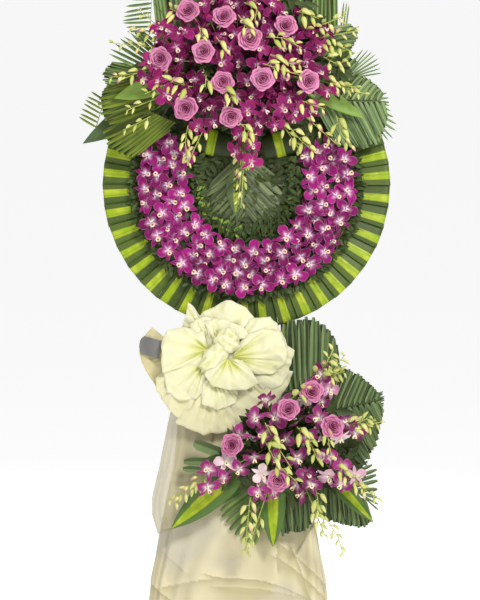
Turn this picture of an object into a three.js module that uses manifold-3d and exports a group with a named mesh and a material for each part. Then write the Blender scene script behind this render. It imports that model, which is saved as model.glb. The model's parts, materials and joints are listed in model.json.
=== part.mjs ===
// Standing funeral wreath: a leaf-rimmed disc with a ring of orchids, a top and a lower spray,
// a fabric bow and a skirt, on a leaning three-legged wooden stand.
// Millimetres, +Z up, front towards -Y. Flowers are placed from the centre of the disc.
import * as THREE from 'three';
import { mergeVertices } from 'three/addons/utils/BufferGeometryUtils.js';
import Module from 'manifold-3d';

const wasm = await Module();
wasm.setup();

// Driving dimensions
const LEAN = THREE.MathUtils.degToRad(5);
const DISC_HEIGHT = 1150;
const DISC_RADIUS = 298;
const SEAT = 0.3;
const DISC_BACK = -SEAT;
const DISC_FRONT = DISC_BACK - 8;
const GAP = 0.4;
const BLADE = 0.8;

const LEG_DEPTH = 20;
const LEG_WIDTH = 26;
const LEG_TOP = 330;
const LEG_SPREAD_TOP = 60;
const LEG_SPREAD_FLOOR = 125;
const BAR_DEPTH = 15;
const BAR_HEIGHT = 40;
const REAR_FOOT = 431;

const RIM_LEAVES = 42;
const RIM_INNER = 246;
const RIM_OUTER = 316;

const RING_START = THREE.MathUtils.degToRad(148);
const RING_SWEEP = THREE.MathUtils.degToRad(243);
const RING_INNER = 132;
const RING_OUTER = 236;
const RING_ROWS = [
  { radius: 147, count: 12, tilt: -12 },
  { radius: 187, count: 16, tilt: 0 },
  { radius: 226, count: 20, tilt: 14 },
];
const BLOOM_RADIUS = 26;
const RING_BLOOM_RADIUS = 22.5;
const ROSE_RADIUS = 29;

const TOP_FOAM = { x: -20, z: 270, width: 230, height: 96, back: -21.1, front: -92 };
const LOWER_FOAM = { x: 85, z: -560, width: 150, height: 100, back: -28.2, front: -92 };

const COLOURS = {
  wood: 0xb08a5a, board: 0x6d5b3f, foam: 0x2f5a35, rim: 0x4c6f2c, greens: 0x2e4a25,
  orchid: 0xa5208a, frond: 0x35582f, leaf: 0x7ba23a, rose: 0xc469a0, bow: 0xf1ecc4,
  tag: 0x77756f, skirt: 0xe2d8b4, sheer: 0xb9b29a,
};

// Seeded draws, so that every build is alike.
function randomFrom(seed) {
  let state = seed;
  return (low, high) => {
    state = (state + 0x6d2b79f5) | 0;
    let mixed = Math.imul(state ^ (state >>> 15), 1 | state);
    mixed = (mixed + Math.imul(mixed ^ (mixed >>> 7), 61 | mixed)) ^ mixed;
    return low + (((mixed ^ (mixed >>> 14)) >>> 0) / 4294967296) * (high - low);
  };
}

const point = (x, y, z) => new THREE.Vector3(x, y, z);
const radians = THREE.MathUtils.degToRad;

// Closed forms, as points and triangles

function loft(rings, startTip, endTip) {
  const count = rings[0].length;
  const points = rings.flat();
  const faces = [];
  for (let row = 0; row < rings.length - 1; row += 1) {
    for (let i = 0; i < count; i += 1) {
      const a = row * count + i;
      const b = row * count + ((i + 1) % count);
      faces.push([a, b, b + count], [a, b + count, a + count]);
    }
  }
  const centre = (ring) => ring.reduce((sum, p) => sum.add(p), point(0, 0, 0)).divideScalar(count);
  points.push(startTip ?? centre(rings[0]));
  points.push(endTip ?? centre(rings.at(-1)));
  const last = (rings.length - 1) * count;
  for (let i = 0; i < count; i += 1) {
    const j = (i + 1) % count;
    faces.push([j, i, points.length - 2], [last + i, last + j, points.length - 1]);
  }
  return { points, faces };
}

function lens(rim, front, back) {
  const faces = [];
  const count = rim.length;
  for (let i = 0; i < count; i += 1) {
    const j = (i + 1) % count;
    faces.push([i, j, count], [j, i, count + 1]);
  }
  return { points: [...rim, front, back], faces };
}

// A sheet over a grid of points, with its back pushed out by a vector for each point.
function sheet(rows, push) {
  const columns = rows[0].length;
  const front = rows.flat();
  const back = rows.flatMap((row, i) => row.map((p, j) => p.clone().add(push(i, j))));
  const offset = front.length;
  const faces = [];
  for (let i = 0; i < rows.length - 1; i += 1) {
    for (let j = 0; j < columns - 1; j += 1) {
      const a = i * columns + j;
      const c = a + columns;
      faces.push([a, a + 1, c + 1], [a, c + 1, c]);
      faces.push([offset + a, offset + c + 1, offset + a + 1], [offset + a, offset + c, offset + c + 1]);
    }
  }
  const border = [];
  for (let j = 0; j < columns; j += 1) border.push(j);
  for (let i = 1; i < rows.length; i += 1) border.push(i * columns + columns - 1);
  for (let j = columns - 2; j >= 0; j -= 1) border.push((rows.length - 1) * columns + j);
  for (let i = rows.length - 2; i > 0; i -= 1) border.push(i * columns);
  border.forEach((a, k) => {
    const b = border[(k + 1) % border.length];
    faces.push([b, a, offset + a], [b, offset + a, offset + b]);
  });
  return { points: [...front, ...back], faces };
}

function volumeOf({ points, faces }) {
  let sum = 0;
  for (const [a, b, c] of faces) {
    sum += points[a].dot(points[b].clone().cross(points[c]));
  }
  return sum;
}

function solid(form) {
  const outward = volumeOf(form) > 0;
  const triangles = outward ? form.faces : form.faces.map(([a, b, c]) => [a, c, b]);
  const vertProperties = new Float32Array(form.points.flatMap((p) => [p.x, p.y, p.z]));
  const triVerts = new Uint32Array(triangles.flat());
  return new wasm.Manifold(new wasm.Mesh({ numProp: 3, vertProperties, triVerts }));
}

function moved(form, matrix) {
  return { points: form.points.map((p) => p.clone().applyMatrix4(matrix)), faces: form.faces };
}

// Pairs are joined first, so that large unions stay quick.
function fused(solids) {
  let level = solids;
  while (level.length > 1) {
    const next = [];
    for (let i = 0; i < level.length; i += 2) {
      next.push(i + 1 < level.length ? level[i].add(level[i + 1]) : level[i]);
    }
    level = next;
  }
  return level[0];
}

// The largest body of a solid, with loose scraps dropped.
function mainBody(whole) {
  const bodies = whole.decompose();
  return bodies.reduce((best, body) => (body.volume() > best.volume() ? body : best));
}

function formOf(whole) {
  const mesh = whole.getMesh();
  const points = [];
  for (let i = 0; i < mesh.vertProperties.length; i += mesh.numProp) {
    points.push(point(...mesh.vertProperties.slice(i, i + 3)));
  }
  const faces = [];
  for (let i = 0; i < mesh.triVerts.length; i += 3) {
    faces.push([...mesh.triVerts.slice(i, i + 3)]);
  }
  return { points, faces };
}

function geometryOf(whole) {
  const form = formOf(whole);
  const geometry = new THREE.BufferGeometry();
  const values = form.points.flatMap((p) => [p.x, p.y, p.z]);
  geometry.setAttribute('position', new THREE.Float32BufferAttribute(values, 3));
  geometry.setIndex(form.faces.flat());
  return mergeVertices(geometry, 1e-4);
}

function tube(path, radii, sides) {
  const rings = path.map((p, i) => {
    const ahead = path[Math.min(i + 1, path.length - 1)];
    const along = ahead.clone().sub(path[Math.max(i - 1, 0)]).normalize();
    const hint = Math.abs(along.y) > 0.9 ? point(1, 0, 0) : point(0, 1, 0);
    const side = along.clone().cross(hint).normalize();
    const other = along.clone().cross(side);
    return Array.from({ length: sides }, (_, k) => {
      const turn = (k / sides) * 2 * Math.PI;
      const reach = side.clone().multiplyScalar(Math.cos(turn) * radii[i]);
      return reach.addScaledVector(other, Math.sin(turn) * radii[i]).add(p);
    });
  });
  return loft(rings);
}

function box(x0, x1, y0, y1, z0, z1) {
  const ring = (z) => [point(x0, y0, z), point(x1, y0, z), point(x1, y1, z), point(x0, y1, z)];
  return loft([ring(z0), ring(z1)]);
}

// A matrix that stands a flat form, drawn facing -Y with +Z up, at a place, facing a direction.
function facing(place, direction, roll) {
  const back = direction.clone().normalize().negate();
  const up = Math.abs(back.z) > 0.9 ? point(0, -1, 0) : point(0, 0, 1);
  const right = back.clone().cross(up).normalize();
  const top = right.clone().cross(back).normalize();
  const matrix = new THREE.Matrix4().makeBasis(right, back, top).setPosition(place);
  return matrix.multiply(new THREE.Matrix4().makeRotationY(roll));
}

const group = new THREE.Group();
const board = new THREE.Group();
group.add(board);

function addPart(name, whole, colour, roughness = 0.6) {
  const material = new THREE.MeshStandardMaterial({ color: colour, roughness, metalness: 0 });
  const mesh = new THREE.Mesh(geometryOf(whole), material);
  mesh.name = name;
  board.add(mesh);
}

// Stand

const floorAt = (y) => y * Math.tan(LEAN) - DISC_HEIGHT;
const legSpread = (z) => {
  const fall = (LEG_TOP - z) / (LEG_TOP + DISC_HEIGHT);
  return THREE.MathUtils.lerp(LEG_SPREAD_TOP, LEG_SPREAD_FLOOR, fall);
};

function frontLeg(side) {
  const foot = side * LEG_SPREAD_FLOOR;
  const head = side * LEG_SPREAD_TOP;
  const ring = (x, zAt) => [
    point(x - LEG_WIDTH / 2, 0, zAt(0)), point(x + LEG_WIDTH / 2, 0, zAt(0)),
    point(x + LEG_WIDTH / 2, LEG_DEPTH, zAt(LEG_DEPTH)), point(x - LEG_WIDTH / 2, LEG_DEPTH, zAt(LEG_DEPTH)),
  ];
  return loft([ring(foot, floorAt), ring(head, () => LEG_TOP)]);
}

function frontBar(z, reach) {
  return box(-reach, reach, -BAR_DEPTH - SEAT, -SEAT, z - BAR_HEIGHT / 2, z + BAR_HEIGHT / 2);
}

function rearBar(z, reach) {
  const near = LEG_DEPTH + SEAT;
  return box(-reach, reach, near, near + BAR_DEPTH, z - BAR_HEIGHT / 2, z + BAR_HEIGHT / 2);
}

const REAR_LEG_TOP = LEG_DEPTH + BAR_DEPTH + 2 * SEAT;
const TIE_HEIGHT = 16;
const UPPER_BAR = 180;
const MIDDLE_BAR = -372;
const FOOT_BAR = -850;

// The rear leg runs from the upper bar to the floor, in the middle plane.
function rearLeg() {
  const profile = [
    [REAR_LEG_TOP, UPPER_BAR + BAR_HEIGHT / 2], [REAR_LEG_TOP, UPPER_BAR - BAR_HEIGHT / 2],
    [REAR_FOOT, floorAt(REAR_FOOT)], [REAR_FOOT + LEG_WIDTH, floorAt(REAR_FOOT + LEG_WIDTH)],
  ];
  const ring = (x) => profile.map(([y, z]) => point(x, y, z));
  return loft([ring(-LEG_WIDTH / 2), ring(LEG_WIDTH / 2)]);
}

function rearLegFront(z) {
  const top = UPPER_BAR - BAR_HEIGHT / 2;
  const fall = (top - z) / (top - floorAt(REAR_FOOT));
  return THREE.MathUtils.lerp(REAR_LEG_TOP, REAR_FOOT, fall);
}

function tieBar() {
  const low = FOOT_BAR - TIE_HEIGHT / 2;
  const high = FOOT_BAR + TIE_HEIGHT / 2;
  const profile = [
    [REAR_LEG_TOP, low], [rearLegFront(low) - GAP, low],
    [rearLegFront(high) - GAP, high], [REAR_LEG_TOP, high],
  ];
  const ring = (x) => profile.map(([y, z]) => point(x, y, z));
  return loft([ring(-LEG_WIDTH / 2), ring(LEG_WIDTH / 2)]);
}

addPart('stand_leg_left', solid(frontLeg(-1)), COLOURS.wood, 0.7);
addPart('stand_leg_right', solid(frontLeg(1)), COLOURS.wood, 0.7);
addPart('stand_leg_rear', solid(rearLeg()), COLOURS.wood, 0.7);
addPart('stand_bar_upper', solid(rearBar(UPPER_BAR, legSpread(UPPER_BAR) + 22)), COLOURS.wood, 0.7);
addPart('stand_bar_middle', solid(frontBar(MIDDLE_BAR, legSpread(MIDDLE_BAR) + 10)), COLOURS.wood, 0.7);
addPart('stand_bar_foot', solid(rearBar(FOOT_BAR, legSpread(FOOT_BAR) + 10)), COLOURS.wood, 0.7);
addPart('stand_tie_bar', solid(tieBar()), COLOURS.wood, 0.7);

// Backing disc

const DISC_SIDES = 32;
function circle(radius, y, sides) {
  return Array.from({ length: sides }, (_, i) => {
    const turn = (i / sides) * 2 * Math.PI;
    return point(radius * Math.cos(turn), y, radius * Math.sin(turn));
  });
}
const disc = loft([circle(DISC_RADIUS, DISC_BACK, DISC_SIDES), circle(DISC_RADIUS, DISC_FRONT, DISC_SIDES)]);
addPart('backing_disc', solid(disc), COLOURS.board, 0.9);

// A foam block, or with a gap round it the room that it keeps for itself
function foamBlock({ x, z, width, height, back, front }, gap = 0) {
  const [across, tall] = [width / 2 + gap, height / 2 + gap];
  return solid(box(x - across, x + across, front - gap, back + gap, z - tall, z + tall));
}
const topFoamRoom = foamBlock(TOP_FOAM, GAP);
const lowerFoamRoom = foamBlock(LOWER_FOAM, GAP);

// Leaf rim: folded leaves, each lapping over the next, as one pleated ring

function leafRim() {
  const backY = DISC_FRONT - GAP;
  const rings = [];
  for (let leaf = 0; leaf < RIM_LEAVES; leaf += 1) {
    const width = (2 * Math.PI) / RIM_LEAVES;
    const stations = [[0.0, 12, -2], [0.985, 4.5, 0]];
    for (const [share, height, reach] of stations) {
      const turn = (leaf + share) * width;
      const at = (radius, y) => point(radius * Math.cos(turn), y, radius * Math.sin(turn));
      rings.push([
        at(RIM_INNER, backY), at(RIM_OUTER + reach, backY),
        at(RIM_OUTER + reach, backY - height), at(RIM_INNER, backY - height + 2),
      ]);
    }
  }
  const points = rings.flat();
  const faces = [];
  rings.forEach((_, i) => {
    const next = (i + 1) % rings.length;
    for (let k = 0; k < 4; k += 1) {
      const a = i * 4 + k;
      const b = i * 4 + ((k + 1) % 4);
      const c = next * 4 + k;
      const d = next * 4 + ((k + 1) % 4);
      faces.push([a, b, d], [a, d, c]);
    }
  });
  return { points, faces };
}
addPart('leaf_rim', solid(leafRim()), COLOURS.rim, 0.45);

// A small leaf from a root, along a direction
function leaflet(root, direction, length, width) {
  const along = direction.clone().normalize();
  const side = along.clone().cross(point(0, 1, 0)).normalize();
  const middle = root.clone().addScaledVector(along, length * 0.5);
  const tip = root.clone().addScaledVector(along, length);
  const left = middle.clone().addScaledVector(side, width / 2);
  const right = middle.clone().addScaledVector(side, -width / 2);
  const lift = along.clone().cross(side).multiplyScalar(BLADE);
  return lens([root, left, tip, right], middle.clone().add(lift), middle.clone().sub(lift));
}

// A band of small leaves on a ring-shaped stem
function greensBand({ radius, back, front, count, lean, length, seed }) {
  const random = randomFrom(seed);
  const half = 4;
  const steps = 24;
  const points = [];
  const faces = [];
  for (let i = 0; i < steps; i += 1) {
    const turn = (i / steps) * 2 * Math.PI;
    const at = (r, y) => point(r * Math.cos(turn), y, r * Math.sin(turn));
    points.push(at(radius - half, back), at(radius + half, back), at(radius, front));
    const next = (i + 1) % steps;
    for (let k = 0; k < 3; k += 1) {
      const a = i * 3 + k;
      const b = i * 3 + ((k + 1) % 3);
      const c = next * 3 + k;
      const d = next * 3 + ((k + 1) % 3);
      faces.push([a, b, d], [a, d, c]);
    }
  }
  const bodies = [solid({ points, faces })];
  for (let i = 0; i < count; i += 1) {
    const turn = (i / count) * 2 * Math.PI;
    const outward = point(Math.cos(turn), 0, Math.sin(turn));
    const around = point(-Math.sin(turn), 0, Math.cos(turn));
    const root = outward.clone().multiplyScalar(radius - 1).add(point(0, back - 3, 0));
    const direction = outward.clone().multiplyScalar(lean);
    direction.addScaledVector(around, random(-0.5, 0.5));
    direction.y = random(-0.45, -0.15);
    bodies.push(solid(leaflet(root, direction, length * random(0.85, 1.1), length * 0.5)));
  }
  return fused(bodies);
}
const OUTER_GREENS = { radius: 243, back: -21.4, front: -30, count: 27, lean: 1, length: 28, seed: 3 };
const INNER_GREENS = { radius: 124, back: -26, front: -34, count: 20, lean: -1, length: 28, seed: 5 };
addPart('outer_greens', mainBody(greensBand(OUTER_GREENS).subtract(topFoamRoom)), COLOURS.greens);

// One dendrobium bloom: three sepals and two broad petals as one star, with its lip

const SHOULDER = 0.8;
const TEPALS = [
  { angle: 90, reach: 1, half: 0 },
  { angle: 18, reach: 1, half: 25 },
  { angle: -52, reach: 0.98, half: 0 },
  { angle: -128, reach: 0.98, half: 0 },
  { angle: 162, reach: 1, half: 25 },
];

// The star's front runs in to a small throat, where the lip stands forward.
// Its back runs in to a neck, which tapers to the root of the flower stalk.
const THROAT = [point(0, -3, 4.5), point(4.8, -4, -3), point(0, -6, -9.5), point(-4.8, -4, -3)];
const NECK = [point(0, 3.6, 2), point(1.8, 3.6, -1.2), point(-1.8, 3.6, -1.2)];
const LIP_TIP = point(0, -12, -6);

function starRim(radius) {
  const rim = [];
  const at = (degrees, reach, y) => {
    const turn = radians(degrees);
    return point(Math.cos(turn) * reach, y, Math.sin(turn) * reach);
  };
  TEPALS.forEach(({ angle, reach, half }, i) => {
    const full = radius * reach;
    if (half) rim.push(at(angle + half, full * SHOULDER, -1));
    rim.push(at(angle, full, 2.5));
    if (half) rim.push(at(angle - half, full * SHOULDER, -1));
    const nextAngle = TEPALS[(i + 1) % TEPALS.length].angle;
    const step = ((angle - nextAngle + 360) % 360) / 2;
    rim.push(at(angle - step, radius * 0.36, 1));
  });
  return rim;
}

// Triangles between the star's rim and a smaller ring inside it, from each point to the nearest
function runIn(rim, ring, offset) {
  const angleOf = (p) => Math.atan2(p.z, p.x);
  const apart = (p, q) => Math.abs(Math.sin((angleOf(p) - angleOf(q)) / 2));
  const nearest = rim.map((p) => {
    const distances = ring.map((q) => apart(p, q));
    return offset + distances.indexOf(Math.min(...distances));
  });
  const faces = [];
  rim.forEach((_, i) => {
    const j = (i + 1) % rim.length;
    faces.push([i, j, nearest[i]]);
    if (nearest[i] !== nearest[j]) faces.push([j, nearest[j], nearest[i]]);
  });
  return faces;
}

function bloom(place, direction, roll, root, radius = BLOOM_RADIUS) {
  const rim = starRim(radius);
  const throatAt = rim.length;
  const neckAt = throatAt + THROAT.length;
  const lipAt = neckAt + NECK.length;
  const faces = runIn(rim, THROAT, throatAt);
  THROAT.forEach((_, k) => {
    faces.push([throatAt + k, throatAt + ((k + 1) % THROAT.length), lipAt]);
  });
  faces.push(...runIn(rim, NECK, neckAt).map(([a, b, c]) => [b, a, c]));
  NECK.forEach((_, k) => {
    faces.push([neckAt + ((k + 1) % NECK.length), neckAt + k, lipAt + 1]);
  });
  const matrix = facing(place, direction, roll);
  const points = [...rim, ...THROAT, ...NECK, LIP_TIP].map((p) => p.clone().applyMatrix4(matrix));
  return solid({ points: [...points, root], faces });
}

// Orchid ring: three staggered rows of blooms that stand out of one curved bed

function orchidRing() {
  const steps = 14;
  const profile = [
    [RING_INNER, DISC_FRONT - GAP], [RING_OUTER, DISC_FRONT - GAP],
    [RING_OUTER, -30], [RING_OUTER - 5, -44], [RING_INNER + 8, -44], [RING_INNER, -36],
  ];
  const rings = Array.from({ length: steps + 1 }, (_, i) => {
    const turn = RING_START + (RING_SWEEP * i) / steps;
    return profile.map(([radius, y]) => point(radius * Math.cos(turn), y, radius * Math.sin(turn)));
  });
  const random = randomFrom(11);
  const bodies = [solid(loft(rings))];
  RING_ROWS.forEach(({ radius, count, tilt }, row) => {
    for (let i = 0; i < count; i += 1) {
      const turn = RING_START + (RING_SWEEP * (i + 0.5)) / count;
      const outward = point(Math.cos(turn), 0, Math.sin(turn));
      const lift = (i + row) % 2 ? -46.5 : -53;
      const place = outward.clone().multiplyScalar(radius + random(-3, 3)).add(point(0, lift, 0));
      const direction = point(random(-0.12, 0.12), -1, random(-0.12, 0.12));
      direction.addScaledVector(outward, Math.tan(radians(tilt)));
      const root = place.clone().add(point(0, -40 - lift, 0));
      bodies.push(bloom(place, direction, random(-0.5, 0.5), root, RING_BLOOM_RADIUS));
    }
  });
  return fused(bodies);
}

// A thin plate over a flat triangulated outline, both faces split alike
function plate(flat, depths, triangles) {
  const count = flat.length;
  const layer = (shift) => flat.map((p, i) => point(p.x, depths[i] + shift, p.y));
  const points = [...layer(-BLADE / 2), ...layer(BLADE / 2)];
  const turned = triangles.map(([a, b, c]) => {
    const first = flat[b].clone().sub(flat[a]);
    return first.cross(flat[c].clone().sub(flat[a])) > 0 ? [a, b, c] : [a, c, b];
  });
  const edges = new Set(turned.flatMap(([a, b, c]) => [`${a},${b}`, `${b},${c}`, `${c},${a}`]));
  const faces = [];
  for (const [a, b, c] of turned) {
    faces.push([a, b, c], [a + count, c + count, b + count]);
    for (const [p, q] of [[a, b], [b, c], [c, a]]) {
      if (!edges.has(`${q},${p}`)) faces.push([q, p, p + count], [q, p + count, q + count]);
    }
  }
  return { points, faces };
}

// Palm frond: leaflets cut to the rib, in the outline of one thin arched blade
function frond({ root, tip, depth, reach, pairs = 8, arch = 4, droop = 4, spread = [62, 26], blunt = 0 }) {
  const start = new THREE.Vector2(...root);
  const axis = new THREE.Vector2(...tip).sub(start);
  const whole = axis.length();
  const length = whole - reach * 0.4;
  axis.normalize();
  const side = new THREE.Vector2(-axis.y, axis.x);
  const flat = [];
  const depths = [];
  const triangles = [];
  const add = (p, y) => {
    flat.push(p);
    depths.push(y);
    return flat.length - 1;
  };
  const bend = (t) => depth - arch * Math.sin(Math.PI * t);
  const along = (t) => start.clone().addScaledVector(axis, length * t);
  const ribs = [-1, 1].map((sign) => Array.from({ length: pairs + 1 }, (_, i) => {
    const t = i / pairs;
    return add(along(t).addScaledVector(side, sign * 2.8 * (1 - 0.5 * t)), bend(t));
  }));
  for (let i = 0; i < pairs; i += 1) {
    triangles.push([ribs[0][i], ribs[0][i + 1], ribs[1][i + 1]], [ribs[0][i], ribs[1][i + 1], ribs[1][i]]);
    const t = (i + 0.5) / pairs;
    const turn = radians(THREE.MathUtils.lerp(spread[0], spread[1], t));
    const long = reach * (0.66 + 0.34 * Math.sin(Math.PI * (0.1 + 0.75 * t)));
    [-1, 1].forEach((sign, k) => {
      const way = axis.clone().multiplyScalar(Math.cos(turn)).addScaledVector(side, sign * Math.sin(turn));
      const end = along(t).addScaledVector(way, long);
      const [near, far] = [ribs[k][i], ribs[k][i + 1]];
      const y = bend(t) + droop;
      if (blunt) {
        const across = axis.clone().multiplyScalar(Math.sin(turn));
        across.addScaledVector(side, -sign * Math.cos(turn));
        const first = add(end.clone().addScaledVector(across, -blunt / 2), y);
        const second = add(end.clone().addScaledVector(across, blunt / 2), y);
        triangles.push([near, first, second], [near, second, far]);
      } else {
        triangles.push([near, add(end, y), far]);
      }
    });
  }
  const last = add(start.clone().addScaledVector(axis, whole), bend(1) + droop);
  triangles.push([ribs[0][pairs], last, ribs[1][pairs]]);
  return plate(flat, depths, triangles);
}

// Broad leaf: a pointed blade folded a little along its midrib
function broadLeaf({ root, tip, width, depth, fold = 4, arch = 5, curve = 0 }) {
  const start = new THREE.Vector2(...root);
  const axis = new THREE.Vector2(...tip).sub(start);
  const length = axis.length();
  axis.normalize();
  const side = new THREE.Vector2(-axis.y, axis.x);
  const widths = [0.35, 0.8, 1, 0.86, 0.5];
  const flat = [];
  const depths = [];
  const triangles = [];
  const place = (t, offset) => {
    const sway = curve * Math.sin(Math.PI * t);
    return start.clone().addScaledVector(axis, length * t).addScaledVector(side, offset + sway);
  };
  widths.forEach((share, i) => {
    const t = i / widths.length;
    const half = (width / 2) * share;
    const y = depth - arch * Math.sin(Math.PI * t);
    [-half, 0, half].forEach((offset) => {
      flat.push(place(t, offset));
      depths.push(offset === 0 ? y + fold / 2 : y - (fold / 2) * share);
    });
    if (i > 0) {
      const a = (i - 1) * 3;
      const b = i * 3;
      triangles.push([a, a + 1, b + 1], [a, b + 1, b], [a + 1, a + 2, b + 2], [a + 1, b + 2, b + 1]);
    }
  });
  flat.push(place(1, 0));
  depths.push(depth);
  const end = (widths.length - 1) * 3;
  triangles.push([end, end + 1, end + 3], [end + 1, end + 2, end + 3]);
  return plate(flat, depths, triangles);
}

// Rose: rings of lapping petals round a tight bud, with its stem, as one turned form
const ROSE_SIDES = 8;
const ROSE_PROFILE = [
  { radius: 0.62, height: -7, wave: 0, turn: 0 },
  { radius: 0.98, height: 3, wave: 0.1, turn: 0 },
  { radius: 0.72, height: 2, wave: 0, turn: 0 },
  { radius: 0.78, height: 11, wave: 0.09, turn: 1 },
  { radius: 0.5, height: 8, wave: 0, turn: 0 },
  { radius: 0.46, height: 19, wave: 0.08, turn: 0 },
];
const STEM_RADIUS = 2.2;
const ROOM_SIDES = 6;

function rose(stem) {
  const ring = (radius, height, wave, turn) => Array.from({ length: ROSE_SIDES }, (_, i) => {
    const sign = (i + turn) % 2 ? -1 : 1;
    const reach = radius * (1 + wave * sign);
    const angle = ((i + 0.5 * turn) / ROSE_SIDES) * 2 * Math.PI;
    return point(Math.cos(angle) * reach, -height - 1.6 * wave * 10 * sign, Math.sin(angle) * reach);
  });
  const rings = [ring(STEM_RADIUS, -stem, 0, 0), ring(STEM_RADIUS, -16, 0, 0)];
  ROSE_PROFILE.forEach(({ radius, height, wave, turn }) => {
    rings.push(ring(radius * ROSE_RADIUS, height, wave, turn));
  });
  return loft(rings, undefined, point(0, -13, 0));
}

// The room a rose keeps for itself, a little wider than the rose all round
function roseRoom(stem) {
  const profile = [
    [STEM_RADIUS + 1, -stem - 1], [STEM_RADIUS + 1, -18], [24, -9.5], [36, 2], [22, 24.5],
  ];
  const rings = profile.map(([radius, height]) => Array.from({ length: ROOM_SIDES }, (_, i) => {
    const angle = (i / ROOM_SIDES) * 2 * Math.PI;
    return point(Math.cos(angle) * radius, -height, Math.sin(angle) * radius);
  }));
  return loft(rings);
}

// A rose stands on a line from a point on the foam's face to the place of its bloom.
function rosePlace(foam, [x, z, reach]) {
  const foot = point(foam.x + (x - foam.x) * 0.5, foam.front + 3, foam.z + (z - foam.z) * 0.4);
  const bloom = point(x, foam.front - reach, z);
  const direction = bloom.clone().sub(foot);
  return { matrix: facing(bloom, direction, (x + z) % 1.5), stem: direction.length() };
}

function addRoses(prefix, foam, foamRoom, places) {
  return places.map((place, i) => {
    const { matrix, stem } = rosePlace(foam, place);
    const whole = solid(moved(rose(stem), matrix)).subtract(foamRoom);
    addPart(`${prefix}_${i + 1}`, whole, COLOURS.rose, 0.6);
    return solid(moved(roseRoom(stem), matrix));
  });
}

// Orchid sprays: arching stems with blooms low on them and buds towards their tips

function bud(place, direction, length) {
  const along = direction.clone().normalize();
  const hint = Math.abs(along.z) > 0.9 ? point(1, 0, 0) : point(0, 0, 1);
  const side = along.clone().cross(hint).normalize();
  const other = along.clone().cross(side);
  const middle = place.clone().addScaledVector(along, length * 0.5);
  const half = length * 0.28;
  const rim = [0, 1, 2].map((k) => {
    const turn = (k / 3) * 2 * Math.PI;
    const reach = side.clone().multiplyScalar(Math.cos(turn) * half);
    return reach.addScaledVector(other, Math.sin(turn) * half).add(middle);
  });
  return lens(rim, place.clone().addScaledVector(along, length), place.clone());
}

function spray(foam, bed, { tip, from, rise = 18, blooms, buds, seed }) {
  const random = randomFrom(seed);
  const end = point(...tip);
  const way = new THREE.Vector2((end.x - foam.x) / bed.across, (end.z - foam.z) / bed.tall);
  way.setLength(0.72);
  const [x, z] = from ?? [way.x * bed.across, way.y * bed.tall];
  const start = point(foam.x + x, foam.front - 8, foam.z + z);
  const crest = start.clone().lerp(end, 0.5).add(point(0, -rise, 6));
  const curve = new THREE.QuadraticBezierCurve3(start, crest, end);
  const bodies = [solid(tube(curve.getPoints(4), [5.5, 4, 2.5, 1.9, 1.3], 3))];
  const flank = end.clone().sub(start).cross(point(0, 1, 0)).normalize();
  for (let i = 0; i < blooms; i += 1) {
    const t = 0.3 + (0.34 * (i + 0.5)) / blooms;
    const sign = i % 2 ? -1 : 1;
    const root = curve.getPoint(t);
    const place = root.clone().addScaledVector(flank, sign * 15).add(point(0, -13, 0));
    const direction = point(flank.x * sign * 0.5, -1, flank.z * sign * 0.5 + random(-0.2, 0.1));
    bodies.push(bloom(place, direction, random(-0.5, 0.5), root));
  }
  for (let i = 0; i < buds; i += 1) {
    const t = 0.66 + (0.33 * (i + 0.6)) / buds;
    const sign = i % 2 ? -1 : 1;
    const root = curve.getPoint(t);
    const direction = curve.getTangent(t).multiplyScalar(0.7).addScaledVector(flank, sign * 0.9);
    direction.y -= 0.35;
    bodies.push(solid(bud(root, direction, random(17, 24) * (1.15 - 0.35 * t))));
  }
  return fused(bodies);
}

// The smaller core that a spray's flowers stand out of, on the foam's face
function flowerBed(foam, { across, tall, deep }) {
  const ring = (share, y) => Array.from({ length: 10 }, (_, i) => {
    const turn = (i / 10) * 2 * Math.PI;
    return point(foam.x + Math.cos(turn) * across * share, y, foam.z + Math.sin(turn) * tall * share);
  });
  const base = foam.front - GAP;
  return loft([ring(1, base), ring(0.9, base - deep * 0.6), ring(0.55, base - deep)]);
}

// Blooms that fill the face between the roses
function fillBlooms(foam, { across, tall, shift, spacing, reach, roses, seed }) {
  const random = randomFrom(seed);
  const bodies = [];
  const rows = Math.ceil(tall / spacing);
  for (let row = -rows; row <= rows; row += 1) {
    for (let column = -6; column <= 6; column += 1) {
      const x = (column + (row % 2 ? 0.5 : 0)) * spacing + random(-5, 5);
      const z = row * spacing * 0.87 + random(-4, 4);
      const inside = (x / across) ** 2 + (z / tall) ** 2 < 1;
      const place = point(foam.x + x, foam.front - reach - random(0, 10), foam.z + z + shift);
      const free = roses.every(([rx, rz]) => Math.hypot(place.x - rx, place.z - rz) > 40);
      if (inside && free) {
        const direction = point(x / across, -1.2, z / tall);
        const root = point(foam.x + x * 0.5, foam.front - 4, foam.z + (z + shift) * 0.3);
        bodies.push(bloom(place, direction, random(-0.6, 0.6), root));
      }
    }
  }
  return bodies;
}

// Top spray

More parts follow.
